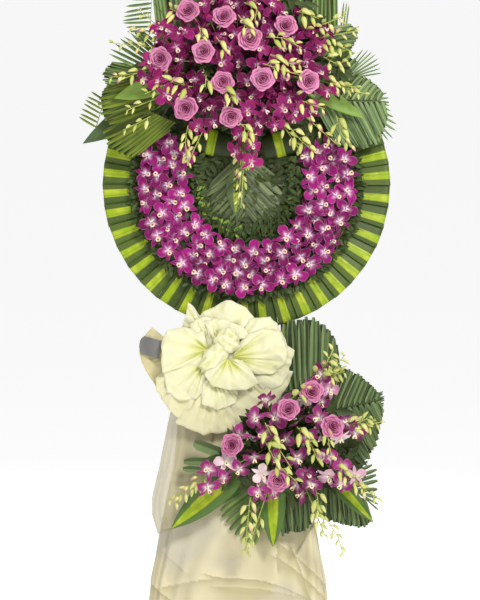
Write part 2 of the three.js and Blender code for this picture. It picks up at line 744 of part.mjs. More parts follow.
const TOP_ROSES = [
  [-127, 378, 52], [-50, 365, 56], [85, 345, 56], [8, 317, 70], [-94, 288, 74], [-188, 273, 50],
  [-52, 222, 76], [34, 229, 76], [135, 224, 62], [-133, 165, 54], [-34, 147, 50],
];
const TOP_SPRAYS = [
  { tip: [-300, -128, 232], blooms: 3, buds: 3, seed: 21 },
  { tip: [-255, -120, 342], blooms: 2, buds: 3, seed: 22 },
  { tip: [-128, -112, 46], blooms: 2, buds: 3, seed: 24 },
  { tip: [-12, -88, -52], from: [26, -32], rise: 6, blooms: 4, buds: 3, seed: 25 },
  { tip: [118, -108, 72], blooms: 2, buds: 3, seed: 26 },
  { tip: [196, -112, 88], blooms: 3, buds: 3, seed: 27 },
  { tip: [262, -122, 196], blooms: 2, buds: 3, seed: 28 },
  { tip: [246, -124, 336], blooms: 3, buds: 3, seed: 29 },
  { tip: [70, -118, 452], blooms: 3, buds: 3, seed: 30 },
  { tip: [-70, -118, 462], blooms: 3, buds: 3, seed: 31 },
];
const TOP_FRONDS = {
  top_frond_1: { root: [-133, 296], tip: [-212, 428], depth: -32, reach: 84 },
  top_frond_2: { root: [-90, 316], tip: [-128, 466], depth: -46, reach: 74 },
  top_frond_3: { root: [-133, 280], tip: [-312, 300], depth: -58, reach: 92, blunt: 13 },
  top_frond_4: { root: [-133, 255], tip: [-352, 200], depth: -70, reach: 96, blunt: 13 },
  top_frond_5: { root: [-133, 232], tip: [-290, 66], depth: -82, reach: 84, blunt: 13 },
  top_frond_6: { root: [50, 316], tip: [196, 452], depth: -34, reach: 110 },
  top_frond_7: { root: [93, 292], tip: [296, 306], depth: -48, reach: 84 },
  top_frond_8: { root: [93, 262], tip: [320, 138], depth: -64, reach: 96, blunt: 13 },
};
const TOP_LEAVES = {
  top_leaf_left_low: { root: [-133, 226], tip: [-366, 88], width: 60, depth: -38 },
  top_leaf_left: { root: [-133, 240], tip: [-290, 188], width: 46, depth: -88, arch: 0 },
};
const TOP_SHOOT = [
  { root: [93, 258], tip: [264, 148], width: 50, depth: -86, arch: 0 },
  { root: [93, 262], tip: [238, 288], width: 44, depth: -86, arch: 0 },
];

function addBlades(builder, blades, colour, foamRoom) {
  Object.entries(blades).forEach(([name, measures]) => {
    addPart(name, mainBody(solid(builder(measures)).subtract(foamRoom)), colour, 0.5);
  });
}

addPart('top_foam_block', foamBlock(TOP_FOAM), COLOURS.foam, 0.9);
addBlades(frond, TOP_FRONDS, COLOURS.frond, topFoamRoom);
addBlades(broadLeaf, TOP_LEAVES, COLOURS.leaf, topFoamRoom);
const topShoot = fused(TOP_SHOOT.map((measures) => solid(broadLeaf(measures))));
addPart('top_shoot_right', mainBody(topShoot.subtract(topFoamRoom)), COLOURS.leaf, 0.5);
const topRooms = addRoses('top_rose', TOP_FOAM, topFoamRoom, TOP_ROSES);

function orchidMass(foam, sprays, fill, bed, rooms) {
  const bodies = [solid(flowerBed(foam, bed))];
  sprays.forEach((measures) => bodies.push(spray(foam, bed, measures)));
  bodies.push(...fillBlooms(foam, fill));
  return mainBody(fused(bodies).subtract(fused(rooms)));
}
const TOP_BED = { across: 108, tall: 44, deep: 20 };
const TOP_FILL = { across: 185, tall: 140, shift: -18, spacing: 62, reach: 46, roses: TOP_ROSES, seed: 41 };
addPart('top_orchids', orchidMass(TOP_FOAM, TOP_SPRAYS, TOP_FILL, TOP_BED, topRooms), COLOURS.orchid);

// Centre: a palm frond laid tip down, a pointed leaf over it, and two folded leaf loops

const CENTRE_FROND = {
  root: [0, 212], tip: [-6, -112], depth: -15, reach: 104, pairs: 14, spread: [70, 40], blunt: 13,
};
const CENTRE_LEAF = { root: [-24, 44], tip: [-24, -68], width: 32, depth: -20.8, fold: 3, arch: 0 };
const LOOPS = {
  folded_leaf_left: { x: -72, z: 92, tilt: 12 },
  folded_leaf_right: { x: 76, z: 90, tilt: -14 },
};
const LOOP = { width: 84, height: 58, depth: 34, sides: 10, wall: 1.6 };

// A leaf bent back on itself: an oval loop drawn out along the leaf's width
function foldedLeaf({ x, z, tilt }, grow) {
  const outline = new THREE.Shape();
  const oval = (path, inset) => {
    for (let i = 0; i < LOOP.sides; i += 1) {
      const turn = (i / LOOP.sides) * 2 * Math.PI;
      const across = Math.cos(turn) * (LOOP.height / 2 - inset);
      const deep = Math.sin(turn) * (LOOP.depth / 2 - inset);
      if (i === 0) path.moveTo(across, deep);
      else path.lineTo(across, deep);
    }
    path.closePath();
  };
  oval(outline, -grow);
  if (!grow) {
    const hole = new THREE.Path();
    oval(hole, LOOP.wall);
    outline.holes.push(hole);
  }
  const depth = LOOP.width + 2 * grow;
  const geometry = new THREE.ExtrudeGeometry(outline, { depth, bevelEnabled: false, curveSegments: 1 });
  geometry.translate(0, 0, -depth / 2);
  geometry.rotateY(-Math.PI / 2);
  const bare = new THREE.BufferGeometry();
  bare.setAttribute('position', geometry.getAttribute('position'));
  const merged = mergeVertices(bare, 1e-3);
  const place = point(x, DISC_FRONT - GAP - LOOP.depth / 2, z);
  merged.rotateY(radians(tilt));
  merged.translate(place.x, place.y, place.z);
  const index = merged.getIndex().array;
  const positions = merged.getAttribute('position');
  const points = Array.from({ length: positions.count }, (_, i) => point().fromBufferAttribute(positions, i));
  const faces = [];
  for (let i = 0; i < index.length; i += 3) faces.push([index[i], index[i + 1], index[i + 2]]);
  return { points, faces };
}

const loopRooms = Object.values(LOOPS).map((measures) => solid(foldedLeaf(measures, 0.6)));
const loopRoom = fused(loopRooms);
const CENTRE_SIDES = 24;
const insideRing = loft([circle(RING_INNER - 3, -60, CENTRE_SIDES), circle(RING_INNER - 3, 0, CENTRE_SIDES)]);
const centreRoom = solid(insideRing).add(solid(box(-100, 100, -60, 0, 70, 240)));
const centreFrond = solid(frond(CENTRE_FROND)).intersect(centreRoom).subtract(loopRoom);
addPart('centre_frond', mainBody(centreFrond), COLOURS.frond, 0.5);
addPart('inner_greens', mainBody(greensBand(INNER_GREENS).subtract(loopRoom)), COLOURS.greens);
addPart('orchid_ring', mainBody(orchidRing().subtract(loopRoom)), COLOURS.orchid, 0.5);
addPart('centre_leaf', solid(broadLeaf(CENTRE_LEAF)), COLOURS.leaf, 0.5);
Object.entries(LOOPS).forEach(([name, measures]) => {
  addPart(name, solid(foldedLeaf(measures, 0)), COLOURS.rim, 0.5);
});

// Bow: puffed loops of fabric round a knot, tied back to the middle bar

const BOW = { x: -65, z: MIDDLE_BAR, back: -30 };
const OUTER_LOOPS = [
  [119, 133], [78, 127], [36, 142], [2, 165], [-38, 152], [-72, 156], [-106, 168],
  [-142, 162], [173, 172], [145, 139],
];
const INNER_LOOPS = [[100, 88], [30, 94], [-40, 98], [-112, 94], [168, 98]];

function bowLoop([degrees, length], y, puff, width) {
  const turn = radians(degrees);
  const along = point(Math.cos(turn), 0, Math.sin(turn));
  const side = point(-Math.sin(turn), 0, Math.cos(turn));
  const centre = point(BOW.x, y, BOW.z);
  const at = (share, across, lift) => centre.clone()
    .addScaledVector(along, length * share).addScaledVector(side, width * across).add(point(0, lift, 0));
  const rim = [
    at(0, 0, 4), at(0.55, 0.42, -2), at(0.92, 0.46, 3), at(1, 0, -3),
    at(0.92, -0.46, 3), at(0.55, -0.42, -2),
  ];
  return lens(rim, at(0.62, 0, -puff), at(0.62, 0, puff * 0.4));
}

function bow() {
  const bodies = OUTER_LOOPS.map((loop, i) => solid(bowLoop(loop, BOW.back - 10 - (i % 2) * 7, 24, 78)));
  INNER_LOOPS.forEach((loop, i) => {
    bodies.push(solid(bowLoop(loop, BOW.back - 34 - (i % 2) * 6, 24, 64)));
  });
  const knot = point(BOW.x, BOW.back - 42, BOW.z);
  const ring = (radius, y) => Array.from({ length: 8 }, (_, i) => {
    const turn = (i / 8) * 2 * Math.PI;
    return point(knot.x + Math.cos(turn) * radius, y, knot.z + Math.sin(turn) * radius);
  });
  const barFront = -BAR_DEPTH - SEAT - GAP;
  bodies.push(solid(loft([
    ring(6, barFront), ring(8, BOW.back), ring(22, knot.y), ring(24, knot.y - 18), ring(12, knot.y - 28),
  ])));
  return fused(bodies);
}
const TAG = { x: -214, z: -352, width: 46, height: 38, y: -48 };
function ribbonTag(gap) {
  const [across, tall] = [TAG.width / 2 + gap, TAG.height / 2 + gap];
  const [near, far] = [TAG.y - gap, TAG.y + BLADE + gap];
  return solid(box(TAG.x - across, TAG.x + across, near, far, TAG.z - tall, TAG.z + tall));
}
addPart('bow', mainBody(bow().subtract(ribbonTag(GAP))), COLOURS.bow, 0.8);
addPart('ribbon_tag', ribbonTag(0), COLOURS.tag);

// Lower spray

const LOWER_ROSES = [
  [91, -491, 62], [142, -453, 52], [188, -530, 54], [-32, -570, 50], [69, -645, 58],
];
const LOWER_SPRAYS = [
  { tip: [-172, -112, -690], blooms: 3, buds: 3, seed: 51 },
  { tip: [0, -112, -808], blooms: 3, buds: 4, seed: 52 },
  { tip: [160, -118, -790], blooms: 2, buds: 3, seed: 53 },
  { tip: [292, -118, -690], blooms: 3, buds: 3, seed: 54 },
  { tip: [296, -112, -520], blooms: 2, buds: 3, seed: 55 },
  { tip: [216, -104, -372], blooms: 3, buds: 3, seed: 56 },
];
const LOWER_FRONDS = {
  lower_frond_1: { root: [122, -512], tip: [136, -296], depth: -38, reach: 92, spread: [40, 16] },
  lower_frond_2: { root: [158, -548], tip: [304, -478], depth: -50, reach: 84, blunt: 12 },
  lower_frond_3: { root: [150, -608], tip: [282, -738], depth: -62, reach: 86 },
  lower_frond_4: { root: [44, -608], tip: [-30, -788], depth: -50, reach: 84, blunt: 12 },
  lower_frond_5: { root: [100, -608], tip: [106, -768], depth: -74, reach: 62, pairs: 8 },
  lower_frond_6: { root: [12, -568], tip: [-142, -612], depth: -64, reach: 62, pairs: 8 },
};
const LOWER_LEAVES = {
  lower_leaf_left: { root: [12, -598], tip: [-166, -755], width: 52, depth: -84, arch: 0 },
  lower_leaf_middle: { root: [58, -608], tip: [58, -794], width: 44, depth: -86, arch: 0 },
  lower_leaf_right: { root: [158, -608], tip: [278, -740], width: 34, depth: -84, arch: 0 },
};
addPart('lower_foam_block', foamBlock(LOWER_FOAM), COLOURS.foam, 0.9);
addBlades(frond, LOWER_FRONDS, COLOURS.frond, lowerFoamRoom);
addBlades(broadLeaf, LOWER_LEAVES, COLOURS.leaf, lowerFoamRoom);
const lowerRooms = addRoses('lower_rose', LOWER_FOAM, lowerFoamRoom, LOWER_ROSES);
const LOWER_BED = { across: 72, tall: 46, deep: 18 };
const LOWER_FILL = { across: 120, tall: 100, shift: 0, spacing: 60, reach: 40, roses: LOWER_ROSES, seed: 61 };
const lowerOrchids = orchidMass(LOWER_FOAM, LOWER_SPRAYS, LOWER_FILL, LOWER_BED, lowerRooms);
addPart('lower_orchids', lowerOrchids, COLOURS.orchid);

// Skirt: a folded curtain round the front of the legs, open behind

const SKIRT_FLAT = -620;
const SKIRT_HEM = -1136;
const SKIRT_WAVE = 7;
const CLOTH = 1.5;
const SKIRT_COLUMNS = 14;
const SKIRT_TURN = 104;
const SKIRT_BACK = 24;
const SKIRT_LEVELS = [
  { z: -384, left: -140, right: 138, front: -19.2 },
  { z: -480, left: -146, right: 142, front: -26 },
  { z: -620, left: -160, right: 146, front: -26 },
  { z: -740, left: -186, right: 148, front: -34 },
  { z: -860, left: -200, right: 168, front: -44 },
  { z: SKIRT_HEM, left: -232, right: 196, front: -62 },
];

function skirtPoint({ z, left, right, front }, share, grow) {
  const turn = radians((share * 2 - 1) * SKIRT_TURN);
  const squared = (value) => Math.sign(value) * Math.sqrt(Math.abs(value));
  const fall = Math.max(0, (SKIRT_FLAT - z) / (SKIRT_FLAT - SKIRT_HEM));
  const wave = SKIRT_WAVE * fall * Math.cos(share * Math.PI * (SKIRT_COLUMNS - 1));
  const half = (right - left) / 2 + grow;
  const x = (left + right) / 2 + half * squared(Math.sin(turn));
  const y = SKIRT_BACK - (SKIRT_BACK - front + wave + grow) * squared(Math.cos(turn));
  return point(x, y, z);
}

function curtain(levels, first, last, grow) {
  const columns = Array.from({ length: last - first + 1 }, (_, j) => (first + j) / (SKIRT_COLUMNS - 1));
  const layer = (extra) => levels.map((level) => (
    columns.map((share) => skirtPoint(level, share, grow + extra))
  ));
  const [outer, inner] = [layer(CLOTH), layer(0)];
  return sheet(outer, (i, j) => inner[i][j].clone().sub(outer[i][j]));
}
addPart('skirt', solid(curtain(SKIRT_LEVELS, 0, SKIRT_COLUMNS - 1, 0)), COLOURS.skirt, 0.85);
const SHEER_LEVELS = [
  { z: -480, left: -162, right: 142, front: -26 },
  { z: -620, left: -184, right: 146, front: -26 },
  { z: -740, left: -206, right: 148, front: -34 },
];
addPart('sheer_panel', solid(curtain(SHEER_LEVELS, 1, 6, CLOTH + GAP)), COLOURS.sheer, 0.9);

// The board leans back with the legs, and the whole stands with its box centred on the origin.
board.position.set(0, 0, DISC_HEIGHT / Math.cos(LEAN));
board.rotation.x = -LEAN;
group.updateMatrixWorld(true);
const reach = new THREE.Box3().setFromObject(group, true);
const middle = reach.getCenter(new THREE.Vector3());
group.position.set(-middle.x, -middle.y, -reach.min.z);

export default group;
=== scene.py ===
import json
import math
import random

import bmesh
import bpy
from mathutils import Matrix, Vector, noise

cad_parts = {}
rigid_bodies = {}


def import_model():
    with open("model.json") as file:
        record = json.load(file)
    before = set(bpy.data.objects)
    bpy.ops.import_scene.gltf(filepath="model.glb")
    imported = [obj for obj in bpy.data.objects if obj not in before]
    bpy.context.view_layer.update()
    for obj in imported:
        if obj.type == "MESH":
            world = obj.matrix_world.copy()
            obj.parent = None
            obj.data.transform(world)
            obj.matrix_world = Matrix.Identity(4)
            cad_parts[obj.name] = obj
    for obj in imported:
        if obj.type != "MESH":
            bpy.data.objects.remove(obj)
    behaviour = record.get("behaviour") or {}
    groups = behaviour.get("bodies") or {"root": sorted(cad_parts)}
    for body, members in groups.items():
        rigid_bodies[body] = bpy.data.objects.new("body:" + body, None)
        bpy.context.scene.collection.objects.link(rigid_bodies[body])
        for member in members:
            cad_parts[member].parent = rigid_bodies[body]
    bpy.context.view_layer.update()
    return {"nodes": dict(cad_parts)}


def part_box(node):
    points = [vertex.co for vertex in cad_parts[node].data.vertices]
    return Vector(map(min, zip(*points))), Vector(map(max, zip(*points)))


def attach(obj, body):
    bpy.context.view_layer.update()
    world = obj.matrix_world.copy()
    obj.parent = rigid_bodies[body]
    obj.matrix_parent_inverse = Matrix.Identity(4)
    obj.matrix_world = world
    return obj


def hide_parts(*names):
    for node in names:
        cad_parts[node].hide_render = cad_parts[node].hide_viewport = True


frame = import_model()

# ---------------------------------------------------------------- board frame, millimetres
# The flowers are set out on a board that leans with the legs: x right, z up the legs, -y front.
LEAN = math.radians(5)
DISC_LOW, DISC_HIGH = (Vector(corner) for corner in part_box("backing_disc"))
DISC_BACK, DISC_MIDDLE_Y, DISC_FRONT = -0.3, -4.3, -8.3
MILLIMETRE = 0.001
BOARD = (
    Matrix.Translation((DISC_LOW + DISC_HIGH) / 2)
    @ Matrix.Rotation(-LEAN, 4, "X")
    @ Matrix.Scale(MILLIMETRE, 4)
    @ Matrix.Translation((0, -DISC_MIDDLE_Y, 0))
)
FORWARD = Vector((0, -1, 0))


# ---------------------------------------------------------------- meshes and shapes
def in_scene(name, data):
    """An object of this data, put into the scene."""
    thing = bpy.data.objects.new(name, data)
    bpy.context.scene.collection.objects.link(thing)
    return thing


def carry(mesh, label, values):
    """Stores a value for each point of a mesh under a name."""
    mesh.attributes.new(label, "FLOAT", "POINT").data.foreach_set("value", values)


def placed(mesh, finish):
    """A mesh set out in the board's millimetres, moved to its place and given its finish."""
    mesh.transform(BOARD)
    mesh.materials.append(finish)
    return mesh


def plain_mesh(thing):
    """What an object's modifiers make of it, as a mesh."""
    graph = bpy.context.evaluated_depsgraph_get()
    graph.update()
    return bpy.data.meshes.new_from_object(
        thing.evaluated_get(graph), preserve_all_data_layers=True, depsgraph=graph)


def outward(angle):
    """The direction away from the middle of the board, at an angle from the right."""
    return Vector((math.cos(angle), 0, math.sin(angle)))


def round_about(angle):
    """The direction along a ring on the board, at an angle from the right."""
    return Vector((-math.sin(angle), 0, math.cos(angle)))


class Shape:
    """Points, faces, a place on the cloth or leaf for each point, and which part it is."""

    def __init__(self):
        self.points, self.faces, self.uv, self.part = [], [], [], []

    def grid(self, rows, columns, place, part=0.0):
        """A sheet of faces, each point placed from its share across (u) and along (v)."""
        start = len(self.points)
        for i in range(rows + 1):
            for j in range(columns + 1):
                u, v = j / columns, i / rows
                self.points.append(Vector(place(u, v)))
                self.uv.append((u, v))
                self.part.append(part)
        for i in range(rows):
            for j in range(columns):
                a = start + i * (columns + 1) + j
                self.faces.append((a, a + 1, a + columns + 2, a + columns + 1))
        return self

    def ball(self, centre, radii, sides, rings, part=0.0):
        """An egg-shaped lump, its ends drawn together."""
        start = len(self.points)
        for i in range(rings + 1):
            polar = math.pi * i / rings
            for j in range(sides):
                angle = 2 * math.pi * j / sides
                spot = Vector((
                    math.sin(polar) * math.cos(angle) * radii[0],
                    math.sin(polar) * math.sin(angle) * radii[1],
                    -math.cos(polar) * radii[2],
                ))
                self.points.append(Vector(centre) + spot)
                self.uv.append((j / sides, i / rings))
                self.part.append(part)
        for i in range(rings):
            for j in range(sides):
                a, b = start + i * sides + j, start + i * sides + (j + 1) % sides
                self.faces.append((a, b, b + sides, a + sides))
        return self

    def add(self, other):
        start = len(self.points)
        self.points += other.points
        self.faces += [tuple(start + k for k in face) for face in other.faces]
        self.uv += other.uv
        self.part += other.part
        return self

    def mesh(self, name):
        mesh = bpy.data.meshes.new(name)
        mesh.from_pydata(self.points, [], self.faces)
        layer = mesh.uv_layers.new(name="UVMap")
        for loop in mesh.loops:
            layer.data[loop.index].uv = self.uv[loop.vertex_index]
        carry(mesh, "part", self.part)
        return mesh


def facing(direction, roll=0.0):
    """Turns a form that faces -y, with +z up, to face a direction."""
    back = -direction.normalized()
    up = FORWARD if abs(back.z) > 0.9 else Vector((0, 0, 1))
    right = back.cross(up).normalized()
    top = right.cross(back).normalized()
    return Matrix((right, back, top)).transposed() @ Matrix.Rotation(roll, 3, "Y")


def lying(along, normal=FORWARD):
    """Turns a form that runs along +x, with its face up +z, along a direction."""
    x = along.normalized()
    z = (normal - x * normal.dot(x)).normalized()
    return Matrix((x, z.cross(x), z)).transposed()


# ---------------------------------------------------------------- geometry nodes
def feed(tree, socket, value):
    """Gives a socket a value, or another node's output."""
    if isinstance(value, bpy.types.NodeSocket):
        tree.links.new(value, socket)
    else:
        socket.default_value = value


def add_node(tree, kind, settings=None, **inputs):
    """A node with its settings, and with its inputs fed."""
    node = tree.nodes.new(kind)
    for key, value in (settings or {}).items():
        setattr(node, key, value)
    for key, value in inputs.items():
        feed(tree, node.inputs[key.replace("_", " ")], value)
    return node


def new_tree(name, inputs):
    """A tree with its geometry in and out, and a named input for each size and choice."""
    tree = bpy.data.node_groups.new(name, "GeometryNodeTree")
    tree.is_modifier = True
    for label, kind, value in [("Geometry", "NodeSocketGeometry", None), *inputs]:
        socket = tree.interface.new_socket(label, in_out="INPUT", socket_type=kind)
        if value is not None:
            socket.default_value = value
    tree.interface.new_socket("Geometry", in_out="OUTPUT", socket_type="NodeSocketGeometry")
    return tree, tree.nodes.new("NodeGroupInput").outputs


def end_tree(tree, geometry, finish):
    """Instances made real, one finish on all, and out."""
    whole = add_node(tree, "GeometryNodeRealizeInstances", Geometry=geometry)
    coated = add_node(tree, "GeometryNodeSetMaterial", Geometry=whole.outputs["Geometry"],
                      Material=finish)
    add_node(tree, "NodeGroupOutput", Geometry=coated.outputs["Geometry"])
    return tree


def named(tree, label, kind):
    """The value that each point or seat carries under a name."""
    node = add_node(tree, "GeometryNodeInputNamedAttribute", {"data_type": kind}, Name=label)
    return node.outputs["Attribute"]


def set_out_tree():
    """One form on each seat, turned and sized as the seat says, with a random tone."""
    tree, given = new_tree("Set out", [
        ("Forms", "NodeSocketCollection", None),
        ("Overall size", "NodeSocketFloat", 1.0),
        ("Tone spread", "NodeSocketFloat", 1.0),
        ("Seed", "NodeSocketInt", 1),
        ("Finish", "NodeSocketMaterial", None),
    ])
    forms = add_node(tree, "GeometryNodeCollectionInfo", Collection=given["Forms"],
                     Separate_Children=True, Reset_Children=True)
    turn = add_node(tree, "FunctionNodeEulerToRotation",
                    Euler=named(tree, "turn", "FLOAT_VECTOR"))
    size = add_node(tree, "ShaderNodeVectorMath", {"operation": "SCALE"},
                    Vector=named(tree, "size", "FLOAT_VECTOR"), Scale=given["Overall size"])
    seat = add_node(tree, "GeometryNodeInstanceOnPoints", Points=given["Geometry"],
                    Instance=forms.outputs[0], Pick_Instance=True,
                    Instance_Index=named(tree, "pick", "INT"), Rotation=turn.outputs[0],
                    Scale=size.outputs[0])
    chance = add_node(tree, "FunctionNodeRandomValue", {"data_type": "FLOAT"},
                      Max=given["Tone spread"], Seed=given["Seed"])
    tone = add_node(tree, "GeometryNodeStoreNamedAttribute",
                    {"data_type": "FLOAT", "domain": "INSTANCE"}, Name="tone",
                    Geometry=seat.outputs["Instances"], Value=chance.outputs[1])
    return end_tree(tree, tone.outputs["Geometry"], given["Finish"])


def stem_tree():
    """A round stem of its own girth along each line."""
    tree, given = new_tree("Stems", [
        ("Girth", "NodeSocketFloat", 1.0),
        ("Sides", "NodeSocketInt", 6),
        ("Finish", "NodeSocketMaterial", None),
    ])
    line = add_node(tree, "GeometryNodeMeshToCurve", Mesh=given["Geometry"])
    curve = add_node(tree, "GeometryNodeSetCurveRadius", Curve=line.outputs["Curve"],
                     Radius=named(tree, "girth", "FLOAT"))
    profile = add_node(tree, "GeometryNodeCurvePrimitiveCircle", Resolution=given["Sides"],
                       Radius=given["Girth"])
    tube = add_node(tree, "GeometryNodeCurveToMesh", Curve=curve.outputs["Curve"],
                    Profile_Curve=profile.outputs["Curve"], Fill_Caps=True)
    return end_tree(tree, tube.outputs["Mesh"], given["Finish"])


SET_OUT = set_out_tree()
STEMS = stem_tree()


def grown(name, mesh, tree, settings):
    """The plain mesh that a tree makes of a mesh, in metres, in its place on the board."""
    holder = in_scene(name, mesh)
    modifier = holder.modifiers.new("Grow", "NODES")
    modifier.node_group = tree
    for item in tree.interface.items_tree:
        if item.item_type == "SOCKET" and item.in_out == "INPUT" and item.name in settings:
            modifier[item.identifier] = settings[item.name]
    holder.update_tag()
    result = plain_mesh(holder)
    bpy.data.objects.remove(holder)
    result.transform(BOARD)
    result.name = name
    result.materials.clear()
    result.materials.append(settings["Finish"])
    result.polygons.foreach_set("material_index", [0] * len(result.polygons))
    return result


def finished(name, mesh, nodes, smooth=True):
    """A visible piece that takes the place of CAD nodes and rides on the one body."""
    piece = in_scene(name, mesh)
    mesh.polygons.foreach_set("use_smooth", [smooth] * len(mesh.polygons))
    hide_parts(*nodes)
    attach(piece, "root")
    return piece


FORM_SETS = {}


def form_set(name, shapes):
    """The forms that a set of seats picks from, kept out of the scene."""
    collection = bpy.data.collections.new(name)
    for i, shape in enumerate(shapes):
        form = bpy.data.objects.new(f"{name}_{i}", shape.mesh(f"{name}_{i}"))
        collection.objects.link(form)
    FORM_SETS[name] = collection


def scatter(draw, *spans):
    """A random vector: within a span, or at a fixed value, along each axis."""
    return Vector([draw.uniform(*span) if isinstance(span, tuple) else span for span in spans])


class Seats:
    """Places for forms: each a point, a turn, a size along x, y and z, and which form."""

    def __init__(self):
        self.rows = []

    def put(self, place, turn, size, pick):
        self.rows.append((Vector(place), turn.to_euler("XYZ"), Vector(size), pick))

    def leaf(self, draw, root, turn, length, width, height=None):
        """One of the three small leaves, its width and height as shares of its length."""
        self.put(root, turn, (length, length * width, length * (height or width)),
                 draw.randrange(3))

    def mesh(self, name):
        mesh = bpy.data.meshes.new(name)
        mesh.from_pydata([row[0] for row in self.rows], [], [])
        for label, kind, column in (("turn", "FLOAT_VECTOR", 1), ("size", "FLOAT_VECTOR", 2)):
            layer = mesh.attributes.new(label, kind, "POINT")
            layer.data.foreach_set("vector", [c for row in self.rows for c in row[column]])
        pick = mesh.attributes.new("pick", "INT", "POINT")
        pick.data.foreach_set("value", [row[3] for row in self.rows])
        return mesh

    def grow(self, name, forms, finish, seed, spread=1.0):
        """One form of the set on each seat, as a plain mesh of one finish."""
        return grown(name, self.mesh(name), SET_OUT, {
            "Forms": FORM_SETS[forms], "Overall size": 1.0, "Tone spread": spread,
            "Seed": seed, "Finish": finish})


def stems(name, lines, finish, sides=6):
    """Round stems along lines of (point, girth)."""
    mesh = bpy.data.meshes.new(name)
    points, edges, girths = [], [], []
    for line in lines:
        start = len(points)
        for point, girth in line:
            points.append(point)
            girths.append(girth)
        edges += [(start + k, start + k + 1) for k in range(len(line) - 1)]
    mesh.from_pydata(points, edges, [])
    carry(mesh, "girth", girths)
    return grown(name, mesh, STEMS, {"Girth": 1.0, "Sides": sides, "Finish": finish})


def merged(meshes, name):
    """Several meshes of one finish as one."""
    work = bmesh.new()
    for mesh in meshes:
        work.from_mesh(mesh)
    result = bpy.data.meshes.new(name)
    work.to_mesh(result)
    work.free()
    result.materials.append(meshes[0].materials[0])
    result.polygons.foreach_set("material_index", [0] * len(result.polygons))
    return result


# ---------------------------------------------------------------- materials
WAVE = 6.283  # radians in one wave of a sine


def linear(red, green, blue):
    """A colour given in screen values of 0 to 255, as the shaders need it."""
    def curve(value):
        share = value / 255
        return share / 12.92 if share <= 0.04045 else ((share + 0.055) / 1.055) ** 2.4
    return (curve(red), curve(green), curve(blue), 1.0)


class Finish:
    """A node material: a principled shader and the nodes that feed it."""

    def __init__(self, name, roughness, **sockets):
        self.material = bpy.data.materials.new(name)
        self.material.use_nodes = True
        self.tree = self.material.node_tree
        self.shader = self.tree.nodes["Principled BSDF"]
        self.shader.inputs["Roughness"].default_value = roughness
        for key, value in sockets.items():
            self.shader.inputs[key.replace("_", " ")].default_value = value

    def node(self, kind, settings=None, **inputs):
        return add_node(self.tree, kind, settings, **inputs)

    def feed(self, socket, value):
        feed(self.tree, socket, value)

    def value(self, label):
        """What each point carries under a name: its tone, part or painted fold shade."""
        return self.node("ShaderNodeAttribute", {"attribute_name": label}).outputs["Fac"]

    def uv(self):
        split = self.node("ShaderNodeSeparateXYZ", Vector=self.uv_vector())
        return split.outputs["X"], split.outputs["Y"]

    def uv_vector(self):
        return self.node("ShaderNodeUVMap", {"uv_map": "UVMap"}).outputs["UV"]

    def place(self):
        return self.node("ShaderNodeTexCoord").outputs["Object"]

    def scaled(self, vector, factors):
        return self.node("ShaderNodeMapping", Vector=vector, Scale=factors).outputs["Vector"]

    def noise(self, vector, scale, detail=3.0, rough=0.5):
        return self.node("ShaderNodeTexNoise", Vector=vector, Scale=scale, Detail=detail,
                         Roughness=rough).outputs["Fac"]

    def math(self, operation, first, second=0.0, third=0.0):
        node = self.node("ShaderNodeMath", {"operation": operation})
        for socket, value in zip(node.inputs, (first, second, third)):
            self.feed(socket, value)
        return node.outputs["Value"]

    def step(self, value, low, high):
        """A smooth rise from 0 to 1 between two values."""
        node = self.node("ShaderNodeMapRange", {"interpolation_type": "SMOOTHSTEP"},
                         Value=value, From_Min=low, From_Max=high)
        return node.outputs["Result"]

    def mix(self, factor, first, second, most=1.0):
        """The first value, with up to a share of the second where the factor is high."""
        if most != 1.0:
            factor = self.math("MULTIPLY", factor, most)
        node = self.node("ShaderNodeMix", {"data_type": "RGBA"})
        self.feed(node.inputs["Factor"], factor)
        self.feed(node.inputs[6], first)
        self.feed(node.inputs[7], second)
        return node.outputs[2]

    def colour(self, value):
        self.feed(self.shader.inputs["Base Color"], value)

    def rough(self, value):
        self.feed(self.shader.inputs["Roughness"], value)

    def bump(self, height, strength, distance):
        node = self.node("ShaderNodeBump", Height=height, Strength=strength, Distance=distance)
        self.feed(self.shader.inputs["Normal"], node.outputs["Normal"])


